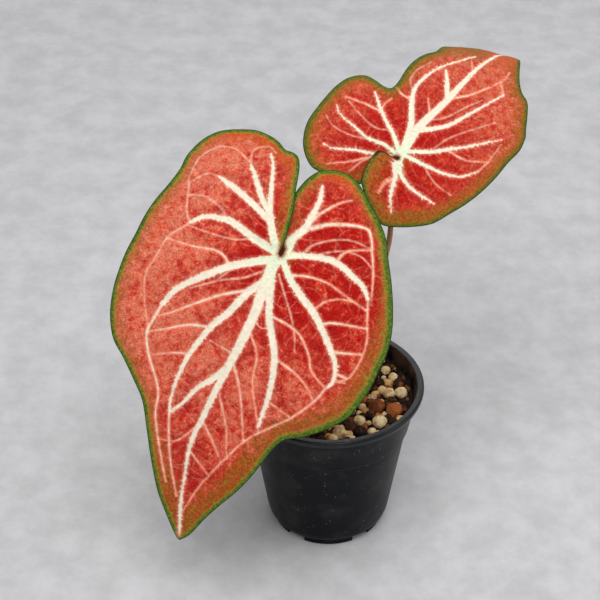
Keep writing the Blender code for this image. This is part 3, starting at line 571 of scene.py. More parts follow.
class Sieve:
    # keeps points at least a set distance apart
    def __init__(self, cell):
        self.cell, self.grid, self.points = cell, {}, []

    def add(self, x, y, clear):
        i, j = int(math.floor(x / self.cell)), int(math.floor(y / self.cell))
        for a in (i - 1, i, i + 1):
            for b in (j - 1, j, j + 1):
                for u, v in self.grid.get((a, b), ()):
                    if (u - x) ** 2 + (v - y) ** 2 < clear * clear:
                        return
        self.grid.setdefault((i, j), []).append((x, y))
        self.points.append((x, y))


def leafPattern(leaf):
    step = bladeBuild["veinStep"]
    near = smoothLine(leaf["nearSide"], bladeBuild["edgeStep"])
    far = smoothLine(leaf["farSide"], bladeBuild["edgeStep"])
    outline = np.concatenate([near[:-1], far[:-1]])
    area = np.sum(outline[:, 0] * np.roll(outline[:, 1], -1)
                  - outline[:, 1] * np.roll(outline[:, 0], -1))
    if area < 0:
        outline = outline[::-1]
    tangent = np.roll(outline, -1, axis=0) - np.roll(outline, 1, axis=0)
    tangent /= np.linalg.norm(tangent, axis=1)[:, None]
    outward = np.stack([tangent[:, 1], -tangent[:, 0]], 1)
    sieve = Sieve(1.0)
    for x, y in outline:
        sieve.add(x, y, 0.0)
    spurs, twigs = growTwigs(leaf, outline)
    wanted = []
    for veins, offsets in ((leaf["main"], (0.0, 0.0, 0.45)), (leaf["thin"], (0.0, 0.4)),
                           (spurs, (0.0,)), (twigs, (0.0, 0.35))):
        for vein in veins:
            line, widths = veinLine(vein, step)
            along = np.gradient(line, axis=0)
            along /= np.linalg.norm(along, axis=1)[:, None]
            wanted += [(x, y, 0.42) for x, y in line]
            for extra in offsets[1:]:
                for side in (-1, 1):
                    away = side * (widths / 2 + extra)
                    wanted += [(x - v * d, y + u * d, 0.36)
                               for (x, y), (u, v), d in zip(line, along, away)]
    for inset in (0.45, 1.0, 1.7):
        wanted += [(p[0] - o[0] * inset, p[1] - o[1] * inset, 0.42)
                   for p, o in zip(outline, outward)]
    lattice = bladeBuild["lattice"]
    low, high = outline.min(0), outline.max(0)
    rows = int((high[1] - low[1]) / (lattice * 0.866)) + 1
    for row in range(rows):
        for col in range(int((high[0] - low[0]) / lattice) + 1):
            wanted.append((low[0] + (col + 0.5 * (row % 2)) * lattice,
                           low[1] + row * lattice * 0.866, 0.62 * lattice))
    wanted = np.array(wanted)
    keep = insideOutline(outline, wanted[:, 0], wanted[:, 1])
    for x, y, clear in wanted[keep]:
        sieve.add(x, y, clear)
    points = sieve.points
    ring = list(range(len(outline)))
    found = delaunay_2d_cdt([Vector(p) for p in points], [], [ring], 1, 1e-6)
    flat = np.array([tuple(p) for p in found[0]])
    triangles = []
    for a, b, c in found[2]:
        pa, pb, pc = flat[a], flat[b], flat[c]
        turn = (pb[0] - pa[0]) * (pc[1] - pa[1]) - (pc[0] - pa[0]) * (pb[1] - pa[1])
        triangles.append((a, b, c) if turn > 0 else (a, c, b))
    return flat, triangles, ring, outward, spurs, twigs


def makeLeaf(name, leaf, material):
    flat, triangles, ring, outward, spurs, twigs = leafPattern(leaf)
    x, y = flat[:, 0], flat[:, 1]
    mainLine, mainWidth = veinPoints(leaf["main"], 0.4)
    veinMain, half = nearestAlong(x, y, mainLine, mainWidth)
    veinSpur = np.minimum(veinMain, nearestThin(x, y, *veinPoints(spurs, 0.3)))
    clear = [vein for vein in leaf["thin"] if vein[0][0] >= 0.95]
    faint = [vein for vein in leaf["thin"] if vein[0][0] < 0.95]
    veinThin = nearestThin(x, y, *veinPoints(clear, 0.4))
    veinSoft = nearestThin(x, y, *veinPoints(faint, 0.4))
    veinFaint = nearestThin(x, y, *veinPoints(twigs, 0.4))
    edge = flat[ring]
    rim, _ = nearestAlong(x, y, edge, np.zeros(len(edge)))
    hub = np.hypot(x, y)
    # a broad quilting between veins, and the veins themselves a little sunk on top
    away = np.clip(np.minimum(veinMain, veinThin + 1.2), 0, None)
    puff = leaf["quilt"] * (1 - np.exp(-(away / 4.5) ** 2)) * smoothStep(0.5, 7, rim)
    sink = 0.32 * np.clip(half / 2.2, 0, 1) * smoothStep(0.6, -0.6, veinMain)
    crease = 0.10 * smoothStep(0.4, -0.2, veinThin) + 0.07 * smoothStep(
        0.3, -0.2, np.minimum(veinSoft, veinFaint))
    ripple = np.array([noise.noise((u * 0.11, v * 0.11, leaf["seed"])) for u, v in flat])
    pucker = np.array([noise.noise((u * 0.42, v * 0.42, leaf["seed"] + 9)) for u, v in flat])
    inner = smoothStep(0, 10, rim)
    top = puff - sink - crease + 0.5 * ripple * inner + 0.22 * pucker * inner
    # ribs that stand out below
    centre = veinMain + half
    reach = half * 1.15 + 0.55
    rib = np.where(centre < reach, np.sqrt(np.clip(1 - (centre / reach) ** 2, 0, 1)), 0)
    ribHeight = rib * np.clip(half * 0.95, 0.2, 2.2)
    thinRib = 0.22 * smoothStep(0.7, -0.2, veinThin)
    seatNear = np.hypot(x - bladeBuild["seat"][0], y - bladeBuild["seat"][1])
    seatRise = (bladeBuild["seatDepth"] - bladeBuild["thickness"] / 2) * smoothStep(
        bladeBuild["seatRadius"] + 2.4, bladeBuild["seatRadius"] - 0.2, seatNear)
    below = np.maximum(np.maximum(ribHeight, thinRib), seatRise)
    below = below * smoothStep(0.2, 3.0, rim + 3.0 * (seatNear < 3.4))
    calm = smoothStep(2.0, 6.0, seatNear)
    thin = bladeBuild["thickness"] / 2 * (0.55 + 0.45 * smoothStep(0, 1.5, rim))
    upper = placeOnLeaf(leaf, x, y, thin + top)
    lower = placeOnLeaf(leaf, x, y, -thin - below + top * calm * 0.9)
    bead = edge + outward * 0.14
    middle = placeOnLeaf(leaf, bead[:, 0], bead[:, 1], np.zeros(len(bead)))
    count, loop = len(flat), len(ring)
    faces = [(a, b, c) for a, b, c in triangles]
    faces += [(count + a, count + c, count + b) for a, b, c in triangles]
    for k in range(loop):
        n = (k + 1) % loop
        topA, topB = ring[k], ring[n]
        midA, midB = 2 * count + k, 2 * count + n
        faces.append((topB, topA, midA, midB))
        faces.append((midB, midA, count + topA, count + topB))
    piece = finishPiece(name, np.concatenate([upper, lower, middle]), faces, material)
    mesh = piece.data
    sheets = {"veinMain": (np.clip(veinSpur, -4, 30), 20.0), "rim": (rim, 0.0),
              "veinThin": (np.clip(veinThin, -4, 20), 20.0),
              "veinSoft": (np.clip(veinSoft, -4, 20), 20.0),
              "veinFaint": (np.clip(veinFaint, -4, 20), 20.0)}
    for label, (values, rimValue) in sheets.items():
        floatAttribute(mesh, label, np.concatenate([values, values, np.full(loop, rimValue)]))
    floatAttribute(mesh, "hub", np.concatenate([hub, hub, hub[ring]]))
    floatAttribute(mesh, "under", np.concatenate([np.zeros(count), np.ones(count),
                                                  np.full(loop, 0.3)]))
    spots = np.zeros((2 * count + loop, 3), np.float32)
    spots[:, :2] = np.concatenate([flat, flat, edge])
    mesh.attributes.new("pattern", "FLOAT_VECTOR", "POINT").data.foreach_set(
        "vector", spots.ravel())
    print(name, "has", 4 * len(triangles) // 2 + 4 * loop, "triangles")
    return piece


# what a leaf is coloured with; sizes are in millimetres of the flat drawing
largeLook = {
    "deep": srgb(190, 6, 0), "mid": srgb(222, 34, 8), "pink": srgb(246, 117, 82),
    # dark: the painted shade colour for the fine creases
    "dark": srgb(120, 8, 0), "tan": srgb(186, 102, 44), "tipTan": srgb(172, 84, 16),
    "olive": srgb(150, 142, 46), "green": srgb(66, 106, 22), "lime": srgb(132, 148, 54),
    "edge": srgb(34, 60, 18), "cream": srgb(251, 239, 214), "hubCream": srgb(238, 246, 212),
    # hubShade: painted shade in the fold of the sinus at the hub
    "salmon": srgb(255, 158, 128), "warm": srgb(222, 82, 26), "hubShade": srgb(70, 22, 10),
    "foldNear": srgb(150, 108, 38), "foldFar": srgb(216, 100, 50),
    "under": srgb(172, 108, 80), "underVein": srgb(206, 196, 150),
    # lean: paler pink towards negative across, partly real colour and partly a painted sheen
    "pinkFrom": 16.0, "pinkTo": 72.0, "lean": -0.5, "redFrom": -108.0, "redTo": -48.0,
    "tanAmount": 0.85, "tanReach": 8.0, "tanMore": (5.0, 1.2, -1.0, 48.0, 108.0),
    "rimWidth": (1.15, 1.9), "rimAcross": (10.0, 48.0), "warmFrom": 34.0, "warmTo": 46.0,
    "foldTurn": 0.0, "foldFrom": 500.0, "foldTo": 510.0, "foldSplit": 0.0,
    "veinGrow": 0.14, "sinusShadeReach": 7.0, "seed": 4.0,
    "twigStrength": (0.08, 0.3), "softStrength": (0.35, 0.75),
}
smallLook = dict(
    largeLook, deep=srgb(194, 14, 2), mid=srgb(218, 48, 12), pink=srgb(228, 92, 48),
    tan=srgb(172, 94, 28), tipTan=srgb(160, 96, 24), olive=srgb(142, 118, 32),
    green=srgb(88, 100, 26), lime=srgb(132, 132, 48),
    tanAmount=0.95, tanReach=9.0, tanMore=(7.0, -0.75, 0.65, 18.0, 36.0),
    pinkFrom=12.0, pinkTo=66.0, lean=0.0, redFrom=-500.0, redTo=-490.0,
    rimWidth=(1.0, 1.5), rimAcross=(4.0, 24.0), warmFrom=500.0, warmTo=510.0, veinGrow=0.0,
    foldTurn=36.6, foldFrom=54.0, foldTo=68.0, foldSplit=-31.0, sinusShadeReach=12.0, seed=9.0,
    twigStrength=(0.05, 0.2), softStrength=(0.25, 0.6))


def leafMaterial(name, look):
    made, tree, shader = newMaterial(name)

    def read(label):
        return addNode(tree, "ShaderNodeAttribute", attribute_name=label).outputs["Fac"]

    def swing(scale, strength, detail=2.0):
        # noise about zero, in the units of what it is added to
        value = noiseAt(tree, place, scale, detail, 0.6)
        return calc(tree, "MULTIPLY", calc(tree, "SUBTRACT", value, 0.5), strength)

    flat = addNode(tree, "ShaderNodeAttribute", attribute_name="pattern").outputs["Vector"]
    across, along, _ = addNode(tree, "ShaderNodeSeparateXYZ", {0: flat}).outputs
    place = addNode(tree, "ShaderNodeVectorMath",
                    {0: flat, 1: (0, 0, look["seed"])}, operation="ADD").outputs[0]
    main, thin, soft, faint, rim, hub, under = (
        read(k) for k in ("veinMain", "veinThin", "veinSoft", "veinFaint", "rim", "hub", "under"))
    fine, middling, broad = swing(2.6, 1.0), swing(0.9, 1.0, 3.0), swing(0.12, 1.0, 3.0)
    patchy = swing(0.33, 1.0, 4.0)

    # blade: deep red by the veins and the hub, paler and pinker outwards, red to the tip; the lean makes
    # the lobes towards negative across paler still, a painted sheen
    spread = calc(tree, "MULTIPLY_ADD", across, look["lean"], hub)
    outward = calc(tree, "MULTIPLY", ease(tree, spread, look["pinkFrom"], look["pinkTo"]),
                   ease(tree, along, look["redFrom"], look["redTo"], 0.25, 1.0))
    between = ease(tree, main, 0.6, 7.0)
    pale = calc(tree, "MULTIPLY_ADD", outward, 0.8, calc(tree, "MULTIPLY", between, 0.3))
    for amount, source in ((1.9, broad), (2.5, patchy), (2.0, middling), (1.2, fine)):
        pale = calc(tree, "MULTIPLY_ADD", source, amount, pale)
    colour = blend(tree, ease(tree, pale, 0.15, 0.8), look["deep"], look["mid"])
    colour = blend(tree, ease(tree, pale, 0.5, 1.2, 0.0, 0.95), colour, look["pink"])

    # the fine net between veins, and painted shade along fine creases in it; the creases also dip in the
    # bump
    wander = addNode(tree, "ShaderNodeTexNoise", {"Vector": place, "Scale": 0.6}).outputs["Color"]
    bent = addNode(tree, "ShaderNodeVectorMath", {0: wander, 1: (3, 3, 0), 2: place},
                   operation="MULTIPLY_ADD").outputs[0]
    nets = []
    for scale, high, low, strength in ((0.36, 0.08, 0.0, 0.7), (0.75, 0.12, 0.0, 0.6),
                                       (1.4, 0.18, 0.02, 0.45)):
        cells = addNode(tree, "ShaderNodeTexVoronoi", {"Vector": bent, "Scale": scale},
                        feature="DISTANCE_TO_EDGE").outputs["Distance"]
        nets.append(ease(tree, cells, high, low, 0.0, strength))
    net = calc(tree, "MAXIMUM", calc(tree, "MAXIMUM", nets[0], nets[1]), nets[2])
    net = calc(tree, "MULTIPLY", net, calc(tree, "MULTIPLY_ADD", outward, 0.85, 0.03))
    net = calc(tree, "MULTIPLY", net, ease(tree, patchy, -0.16, 0.12, 0.25, 1.2), clamp=True)
    folds = noiseAt(tree, bent, 0.75, 3.0, 0.65)
    crease = calc(tree, "ABSOLUTE", calc(tree, "SUBTRACT", folds, 0.5))
    crease = calc(tree, "MULTIPLY", ease(tree, crease, 0.05, 0.0),
                  ease(tree, middling, -0.12, 0.1, 0.1, 0.65))
    # painted shade: the fine creases darkened in the colour
    colour = blend(tree, crease, colour, look["dark"])
    colour = blend(tree, net, colour, look["salmon"])
    onFaint = calc(tree, "MULTIPLY",
                   ease(tree, calc(tree, "MULTIPLY_ADD", fine, 1.2, faint), 0.36, -0.16),
                   ease(tree, patchy, -0.2, 0.12, *look["twigStrength"]))
    colour = blend(tree, onFaint, colour, look["salmon"])
    onSoft = calc(tree, "MULTIPLY",
                  ease(tree, calc(tree, "MULTIPLY_ADD", fine, 1.0, soft), 0.5, -0.2),
                  ease(tree, patchy, -0.2, 0.12, *look["softStrength"]))

    # towards the margin: tan, olive, green, then a dark line
    width = ease(tree, across, *look["rimAcross"], *look["rimWidth"])
    ragged = calc(tree, "MULTIPLY_ADD", fine, 2.6, calc(tree, "MULTIPLY_ADD", middling, 2.8, rim))
    more, sideways, lengthways, moreFrom, moreTo = look["tanMore"]
    towards = calc(tree, "MULTIPLY_ADD", across, sideways,
                   calc(tree, "MULTIPLY", along, lengthways))
    extra = ease(tree, towards, moreFrom, moreTo)
    slow = calc(tree, "MULTIPLY_ADD", extra, -more,
                calc(tree, "MULTIPLY_ADD", patchy, 11.0, ragged))
    tan = blend(tree, extra, look["tan"], look["tipTan"])
    lively = calc(tree, "ADD", calc(tree, "ADD", fine, middling), patchy)
    tan = blend(tree, ease(tree, lively, 0.02, 0.34, 0.0, 0.55), tan, look["pink"])
    tan = blend(tree, ease(tree, lively, 0.0, -0.3, 0.0, 0.8), tan, look["olive"])
    # painted shade along the creases in the tan band too
    tan = blend(tree, calc(tree, "MULTIPLY", crease, 0.6), tan, look["dark"])
    colour = blend(tree, ease(tree, slow, look["tanReach"], 0.8, 0.0, look["tanAmount"]),
                   colour, tan)
    turn = math.radians(look["foldTurn"])
    down = calc(tree, "MULTIPLY_ADD", across, math.sin(turn),
                calc(tree, "MULTIPLY", along, -math.cos(turn)))
    wide = calc(tree, "MULTIPLY_ADD", across, math.cos(turn),
                calc(tree, "MULTIPLY", along, math.sin(turn)))
    folded = blend(tree, ease(tree, wide, look["foldSplit"] + 5, look["foldSplit"] - 5),
                   look["foldNear"], look["foldFar"])
    colour = blend(tree, ease(tree, calc(tree, "MULTIPLY_ADD", patchy, 16.0, down),
                              look["foldFrom"], look["foldTo"], 0.0, 0.8), colour, folded)
    warmth = calc(tree, "MULTIPLY", ease(tree, along, look["warmFrom"], look["warmTo"]),
                  ease(tree, slow, 9.0, 3.0, 0.0, 0.75))
    colour = blend(tree, warmth, colour, look["warm"])
    share = calc(tree, "DIVIDE", ragged, width)
    colour = blend(tree, ease(tree, share, 2.6, 1.2, 0.0, 0.85), colour, look["olive"])
    greens = blend(tree, ease(tree, calc(tree, "MULTIPLY_ADD", middling, 0.7, fine),
                              -0.02, 0.16), look["green"], look["lime"])
    colour = blend(tree, ease(tree, share, 1.5, 0.8), colour, greens)

    # veins
    frayed = calc(tree, "MULTIPLY_ADD", fine, 1.0, calc(tree, "MULTIPLY_ADD", middling, 1.3, main))
    frayed = calc(tree, "SUBTRACT", frayed, look["veinGrow"])
    fade = ease(tree, share, 0.9, 2.6)
    colour = blend(tree, ease(tree, frayed, 1.2, 0.1, 0.0, 0.45), colour, look["salmon"])
    slim = calc(tree, "MULTIPLY_ADD", fine, 1.3, calc(tree, "MULTIPLY_ADD", middling, 0.9, thin))
    slimColour = blend(tree, ease(tree, thin, -0.1, -0.6), look["salmon"], look["cream"])
    colour = blend(tree, ease(tree, slim, 0.8, 0.1, 0.0, 0.3), colour, look["salmon"])
    softPink = blend(tree, 0.4, look["salmon"], look["cream"])
    colour = blend(tree, calc(tree, "MULTIPLY", onSoft, fade), colour, softPink)
    strong = calc(tree, "MULTIPLY", fade, ease(tree, patchy, -0.2, 0.05, 0.6, 0.95))
    onSlim = calc(tree, "MULTIPLY", ease(tree, slim, 0.3, -0.14), strong)
    colour = blend(tree, onSlim, colour, slimColour)
    onMain = calc(tree, "MULTIPLY", ease(tree, frayed, 0.26, -0.14), fade)
    vein = blend(tree, ease(tree, calc(tree, "MULTIPLY_ADD", middling, 20.0, hub), 20.0, 2.0),
                 look["cream"], look["hubCream"])
    vein = blend(tree, ease(tree, main, -0.4, 0.2, 0.0, 0.35), vein, look["salmon"])
    colour = blend(tree, onMain, colour, vein)
    colour = blend(tree, ease(tree, rim, 0.42, 0.12), colour, look["edge"])
    # painted shade: dark brown where the lobes fold over each other at the sinus by the hub
    sinusShade = calc(tree, "MULTIPLY", ease(tree, calc(tree, "SUBTRACT", hub, along), 2.2, 0.4),
               ease(tree, rim, 1.7, 0.7))
    colour = blend(tree, calc(tree, "MULTIPLY", sinusShade,
                              ease(tree, hub, look["sinusShadeReach"], look["sinusShadeReach"] * 0.5)), colour,
                   look["hubShade"])

    # the paler underside
    below = blend(tree, net, look["under"], look["underVein"])
    below = blend(tree, calc(tree, "MAXIMUM", onFaint, onSoft), below, look["underVein"])
    below = blend(tree, ease(tree, slim, 0.3, -0.14, 0.0, 0.8), below, look["underVein"])
    below = blend(tree, onMain, below, look["underVein"])
    below = blend(tree, ease(tree, share, 2.4, 1.0), below, look["olive"])
    colour = blend(tree, under, colour, below)

    flecks = useGroup(tree, speckle, {"Vector": place, "Scale": 1.0, "Strength": 0.7})
    veined = calc(tree, "MAXIMUM", onMain, calc(tree, "MAXIMUM", onSlim, onSoft))
    shade = calc(tree, "MULTIPLY_ADD", calc(tree, "MULTIPLY", veined, 0.82),
                 calc(tree, "SUBTRACT", 1.0, flecks.outputs["Tint"]), flecks.outputs["Tint"])
    colour = blend(tree, 1.0, colour, shade, "MULTIPLY")
    tree.links.new(colour, shader.inputs["Base Color"])
    tree.links.new(ease(tree, flecks.outputs["Height"], 0.3, 0.7, 0.36, 0.52),
                   shader.inputs["Roughness"])
    shader.inputs["Specular IOR Level"].default_value = 0.13
    relief = calc(tree, "SUBTRACT", calc(tree, "MULTIPLY", flecks.outputs["Height"], 0.6),
                  calc(tree, "ADD", calc(tree, "MULTIPLY", net, 0.6), crease))
    relief = calc(tree, "MULTIPLY", relief, calc(tree, "MULTIPLY_ADD", veined, -0.65, 1.0))
    bump = addNode(tree, "ShaderNodeBump",
                   {"Strength": 0.7, "Distance": 0.0008, "Height": relief})
    tree.links.new(bump.outputs[0], shader.inputs["Normal"])
    return made


largePiece = makeLeaf("leafLarge", largeLeaf, leafMaterial("large leaf", largeLook))
declare(largePiece, "leaf_large")
smallPiece = makeLeaf("leafSmall", smallLeaf, leafMaterial("small leaf", smallLook))
declare(smallPiece, "leaf_small")
print("leaves made:", len(largePiece.data.polygons), len(smallPiece.data.polygons))


# the stalks

largeStalk = {"path": [(-4.0, 2.0, 61.3), (-5.0, 3.5, 84.0), (-10.5, 7.0, 110.0),
                       (-18.0, 7.5, 133.0)],
              "radii": [2.5, 2.3, 1.9, 1.6, 1.45, 1.45], "leaf": largeLeaf}
smallStalk = {"path": [(5.5, 4.5, 61.3), (8.5, 6.5, 84.0), (18.5, 18.0, 111.0),
                       (27.0, 30.0, 135.0), (29.0, 36.0, 150.0)],
              "radii": [2.4, 2.1, 1.6, 1.35, 1.3, 1.3, 1.3], "leaf": smallLeaf}
stalkBuild = {"sides": 28, "step": 1.2, "gap": 0.12}


def makeStalk(name, stalk, material):
    leaf = stalk["leaf"]
    depth = bladeBuild["seatDepth"] + stalkBuild["gap"]
    seat = placeOnLeaf(leaf, *bladeBuild["seat"], -depth)
    square = seat - placeOnLeaf(leaf, *bladeBuild["seat"], -depth - 1)
    arrival = 0.55 * square + 0.45 * np.array((0, 0, 1.0))
    line = [np.array(p, float) for p in stalk["path"]]
    line += [seat - 10 * arrival / np.linalg.norm(arrival), seat]
    path = smoothLine(line, stalkBuild["step"])
    rings, sides = len(path), stalkBuild["sides"]
    radii = np.interp(np.linspace(0, 1, rings), np.linspace(0, 1, len(stalk["radii"])),
                      stalk["radii"])
    along = Vector(line[1] - line[0]).normalized()
    turn = along.to_track_quat("Z", "Y")
    previous = along
    points, faces = [], []
    finish = Vector(square).normalized()
    for k in range(rings):
        ahead = Vector(path[min(k + 1, rings - 1)] - path[max(k - 1, 0)]).normalized()
        if k > rings - 6:
            ahead = ahead.lerp(finish, (k - rings + 6) / 5).normalized()
        turn = previous.rotation_difference(ahead) @ turn
        previous = ahead
        # the skin swells slightly where it meets the blade
        left = (rings - 1 - k) * stalkBuild["step"]
        flare = 1 + 0.22 * math.exp(-left / 1.6)
        for side in range(sides):
            angle = math.tau * side / sides
            groove = 1 - 0.05 * math.cos(2 * angle) + 0.012 * math.sin(9 * angle)
            reach = radii[k] * groove * flare
            points.append(Vector(path[k]) + turn @ Vector((reach * math.cos(angle),
                                                           reach * math.sin(angle), 0)))
    for k in range(rings - 1):
        for side in range(sides):
            a, b = k * sides + side, k * sides + (side + 1) % sides
            faces.append((a, b, b + sides, a + sides))
    faces.append(tuple(reversed(range(sides))))
    faces.append(tuple(range((rings - 1) * sides, rings * sides)))
    piece = finishPiece(name, points, faces, material, 60)
    floatAttribute(piece.data, "along", np.repeat(np.linspace(0, 1, rings), sides))
    return piece


def stalkMaterial():
    made, tree, shader = newMaterial("stalk")
    place = addNode(tree, "ShaderNodeTexCoord").outputs["Object"]
    stretched = addNode(tree, "ShaderNodeMapping",
                        {"Vector": place, "Scale": (1.0, 1.0, 0.12)}).outputs[0]
    along = addNode(tree, "ShaderNodeAttribute", attribute_name="along").outputs["Fac"]
    streaks = noiseAt(tree, stretched, 900.0, 3.0, 0.6)
    blotch = noiseAt(tree, place, 220.0, 3.0, 0.6)
    colour = blend(tree, ease(tree, along, 0.05, 0.6), srgb(190, 196, 140), srgb(168, 128, 90))
    colour = blend(tree, ease(tree, along, 0.55, 1.0), colour, srgb(184, 120, 94))
    colour = blend(tree, ease(tree, streaks, 0.45, 0.7, 0.0, 0.5), colour, srgb(124, 76, 52))
    colour = blend(tree, ease(tree, blotch, 0.55, 0.72, 0.0, 0.5), colour, srgb(128, 136, 74))
    flecks = useGroup(tree, speckle, {"Vector": place, "Scale": 1400.0, "Strength": 0.25})
    colour = blend(tree, 1.0, colour, flecks.outputs["Tint"], "MULTIPLY")
    tree.links.new(colour, shader.inputs["Base Color"])
    tree.links.new(ease(tree, streaks, 0.3, 0.7, 0.34, 0.5), shader.inputs["Roughness"])
    bump = addNode(tree, "ShaderNodeBump",
                   {"Strength": 0.3, "Distance": 0.00015, "Height": streaks})
    tree.links.new(bump.outputs[0], shader.inputs["Normal"])
    return made


stalkSkin = stalkMaterial()
declare(makeStalk("stalkLarge", largeStalk, stalkSkin), "stalk_large")
declare(makeStalk("stalkSmall", smallStalk, stalkSkin), "stalk_small")
print("stalks made")


# the pot: a turned shell with a lip, a collar, a foot ring, notches and drain holes

pot = {
    "height": 80.0, "rim": 45.0, "collarTop": 41.8, "collarFoot": 38.5, "collarHeight": 58.0,
    "wallTop": 37.4, "wallFoot": 29.7, "wall": 1.2, "lift": 4.2, "ring": 26.8,
    "ringWidth": 2.0, "pad": 6.0, "steps": 160,
    "drains": 5, "firstDrain": 18.0, "drainRadius": 3.2, "drainAt": 19.5, "notch": 9.4,
}


def roundedProfile(corners):
    # corners are (radius, height, rounding); each rounding becomes a short arc
    line = []
    for k, (x, z, size) in enumerate(corners):
        here = np.array((x, z))
        if size <= 0 or k in (0, len(corners) - 1):
            line.append(here)
            continue
        before = np.array(corners[k - 1][:2]) - here
        after = np.array(corners[k + 1][:2]) - here
        reach = min(size, 0.45 * np.linalg.norm(before), 0.45 * np.linalg.norm(after))
        start = here + before / np.linalg.norm(before) * reach
        end = here + after / np.linalg.norm(after) * reach
        for t in (0, 0.25, 0.5, 0.75, 1):
            line.append((1 - t) ** 2 * start + 2 * t * (1 - t) * here + t * t * end)
    return line


def turnedPiece(name, profile, steps, material, smoothAngle):
    work = bmesh.new()
    verts = [work.verts.new((r * mm, 0, z * mm)) for r, z in profile]
    edges = [work.edges.new(pair) for pair in zip(verts, verts[1:])]
    bmesh.ops.spin(work, geom=verts + edges, cent=(0, 0, 0), axis=(0, 0, 1),
                   angle=math.tau, steps=steps, use_merge=True)
    bmesh.ops.remove_doubles(work, verts=work.verts, dist=0.000005)
    bmesh.ops.recalc_face_normals(work, faces=work.faces)
    if work.calc_volume(signed=True) < 0:
        bmesh.ops.reverse_faces(work, faces=work.faces)
    mesh = bpy.data.meshes.new(name)
    work.to_mesh(mesh)
    work.free()
    mesh.materials.append(material)
    mesh.shade_smooth()
    mesh.set_sharp_from_angle(angle=math.radians(smoothAngle))
    piece = bpy.data.objects.new(name, mesh)
    bpy.context.scene.collection.objects.link(piece)
    return piece


def potMaterial():
    made, tree, shader = newMaterial("pot plastic")
    place = addNode(tree, "ShaderNodeTexCoord").outputs["Object"]
    cloud = noiseAt(tree, place, 38.0, 4.0, 0.6)
    grain = noiseAt(tree, place, 1500.0, 2.0, 0.5)
    # fine scratches that run round and down
    ring = addNode(tree, "ShaderNodeMapping", {"Vector": place, "Scale": (1, 1, 14)}).outputs[0]
    fall = addNode(tree, "ShaderNodeMapping", {"Vector": place, "Scale": (9, 9, 0.6)}).outputs[0]
    scuffRing = ease(tree, noiseAt(tree, ring, 90.0, 4.0, 0.7), 0.60, 0.74)
    scuffFall = ease(tree, noiseAt(tree, fall, 60.0, 4.0, 0.7), 0.62, 0.76)
    scuff = calc(tree, "MULTIPLY", calc(tree, "MAXIMUM", scuffRing, scuffFall),
                 ease(tree, cloud, 0.45, 0.62))
    film = useGroup(tree, dust, {"Vector": place, "Flecks": 0.75, "Film": 0.16})
    colour = blend(tree, ease(tree, cloud, 0.35, 0.7), srgb(7, 9, 13), srgb(14, 16, 21))
    colour = blend(tree, calc(tree, "MULTIPLY", scuff, 0.3), colour, srgb(70, 72, 76))
    colour = blend(tree, calc(tree, "MULTIPLY", film.outputs["Mask"], 0.6), colour,
                   srgb(140, 138, 134))
    # earth rubbed on the inside
    inner = addNode(tree, "ShaderNodeAttribute", attribute_name="inner").outputs["Fac"]
    smear = calc(tree, "MULTIPLY", ease(tree, noiseAt(tree, place, 130.0, 5.0, 0.7), 0.36, 0.66),
                 inner)
    colour = blend(tree, calc(tree, "MULTIPLY", smear, 0.75), colour, srgb(84, 62, 48))
    shader.inputs["Specular IOR Level"].default_value = 0.1
    # the lip is rubbed shiny
    height = addNode(tree, "ShaderNodeSeparateXYZ", {0: place}).outputs[2]
    tree.links.new(ease(tree, height, 0.0765, 0.0785, 0.0, 0.5), shader.inputs["Coat Weight"])
    shader.inputs["Coat Roughness"].default_value = 0.22
    tree.links.new(colour, shader.inputs["Base Color"])
    rough = calc(tree, "ADD", ease(tree, cloud, 0.3, 0.7, 0.34, 0.46),
                 calc(tree, "MULTIPLY", calc(tree, "MAXIMUM", scuff, film.outputs["Mask"]), 0.25))
    tree.links.new(rough, shader.inputs["Roughness"])
    relief = calc(tree, "ADD", calc(tree, "MULTIPLY", grain, 0.5),
                  calc(tree, "MULTIPLY", scuff, 0.5))
    bump = addNode(tree, "ShaderNodeBump",
                   {"Strength": 0.18, "Distance": 0.00012, "Height": relief})
    tree.links.new(bump.outputs[0], shader.inputs["Normal"])
    return made


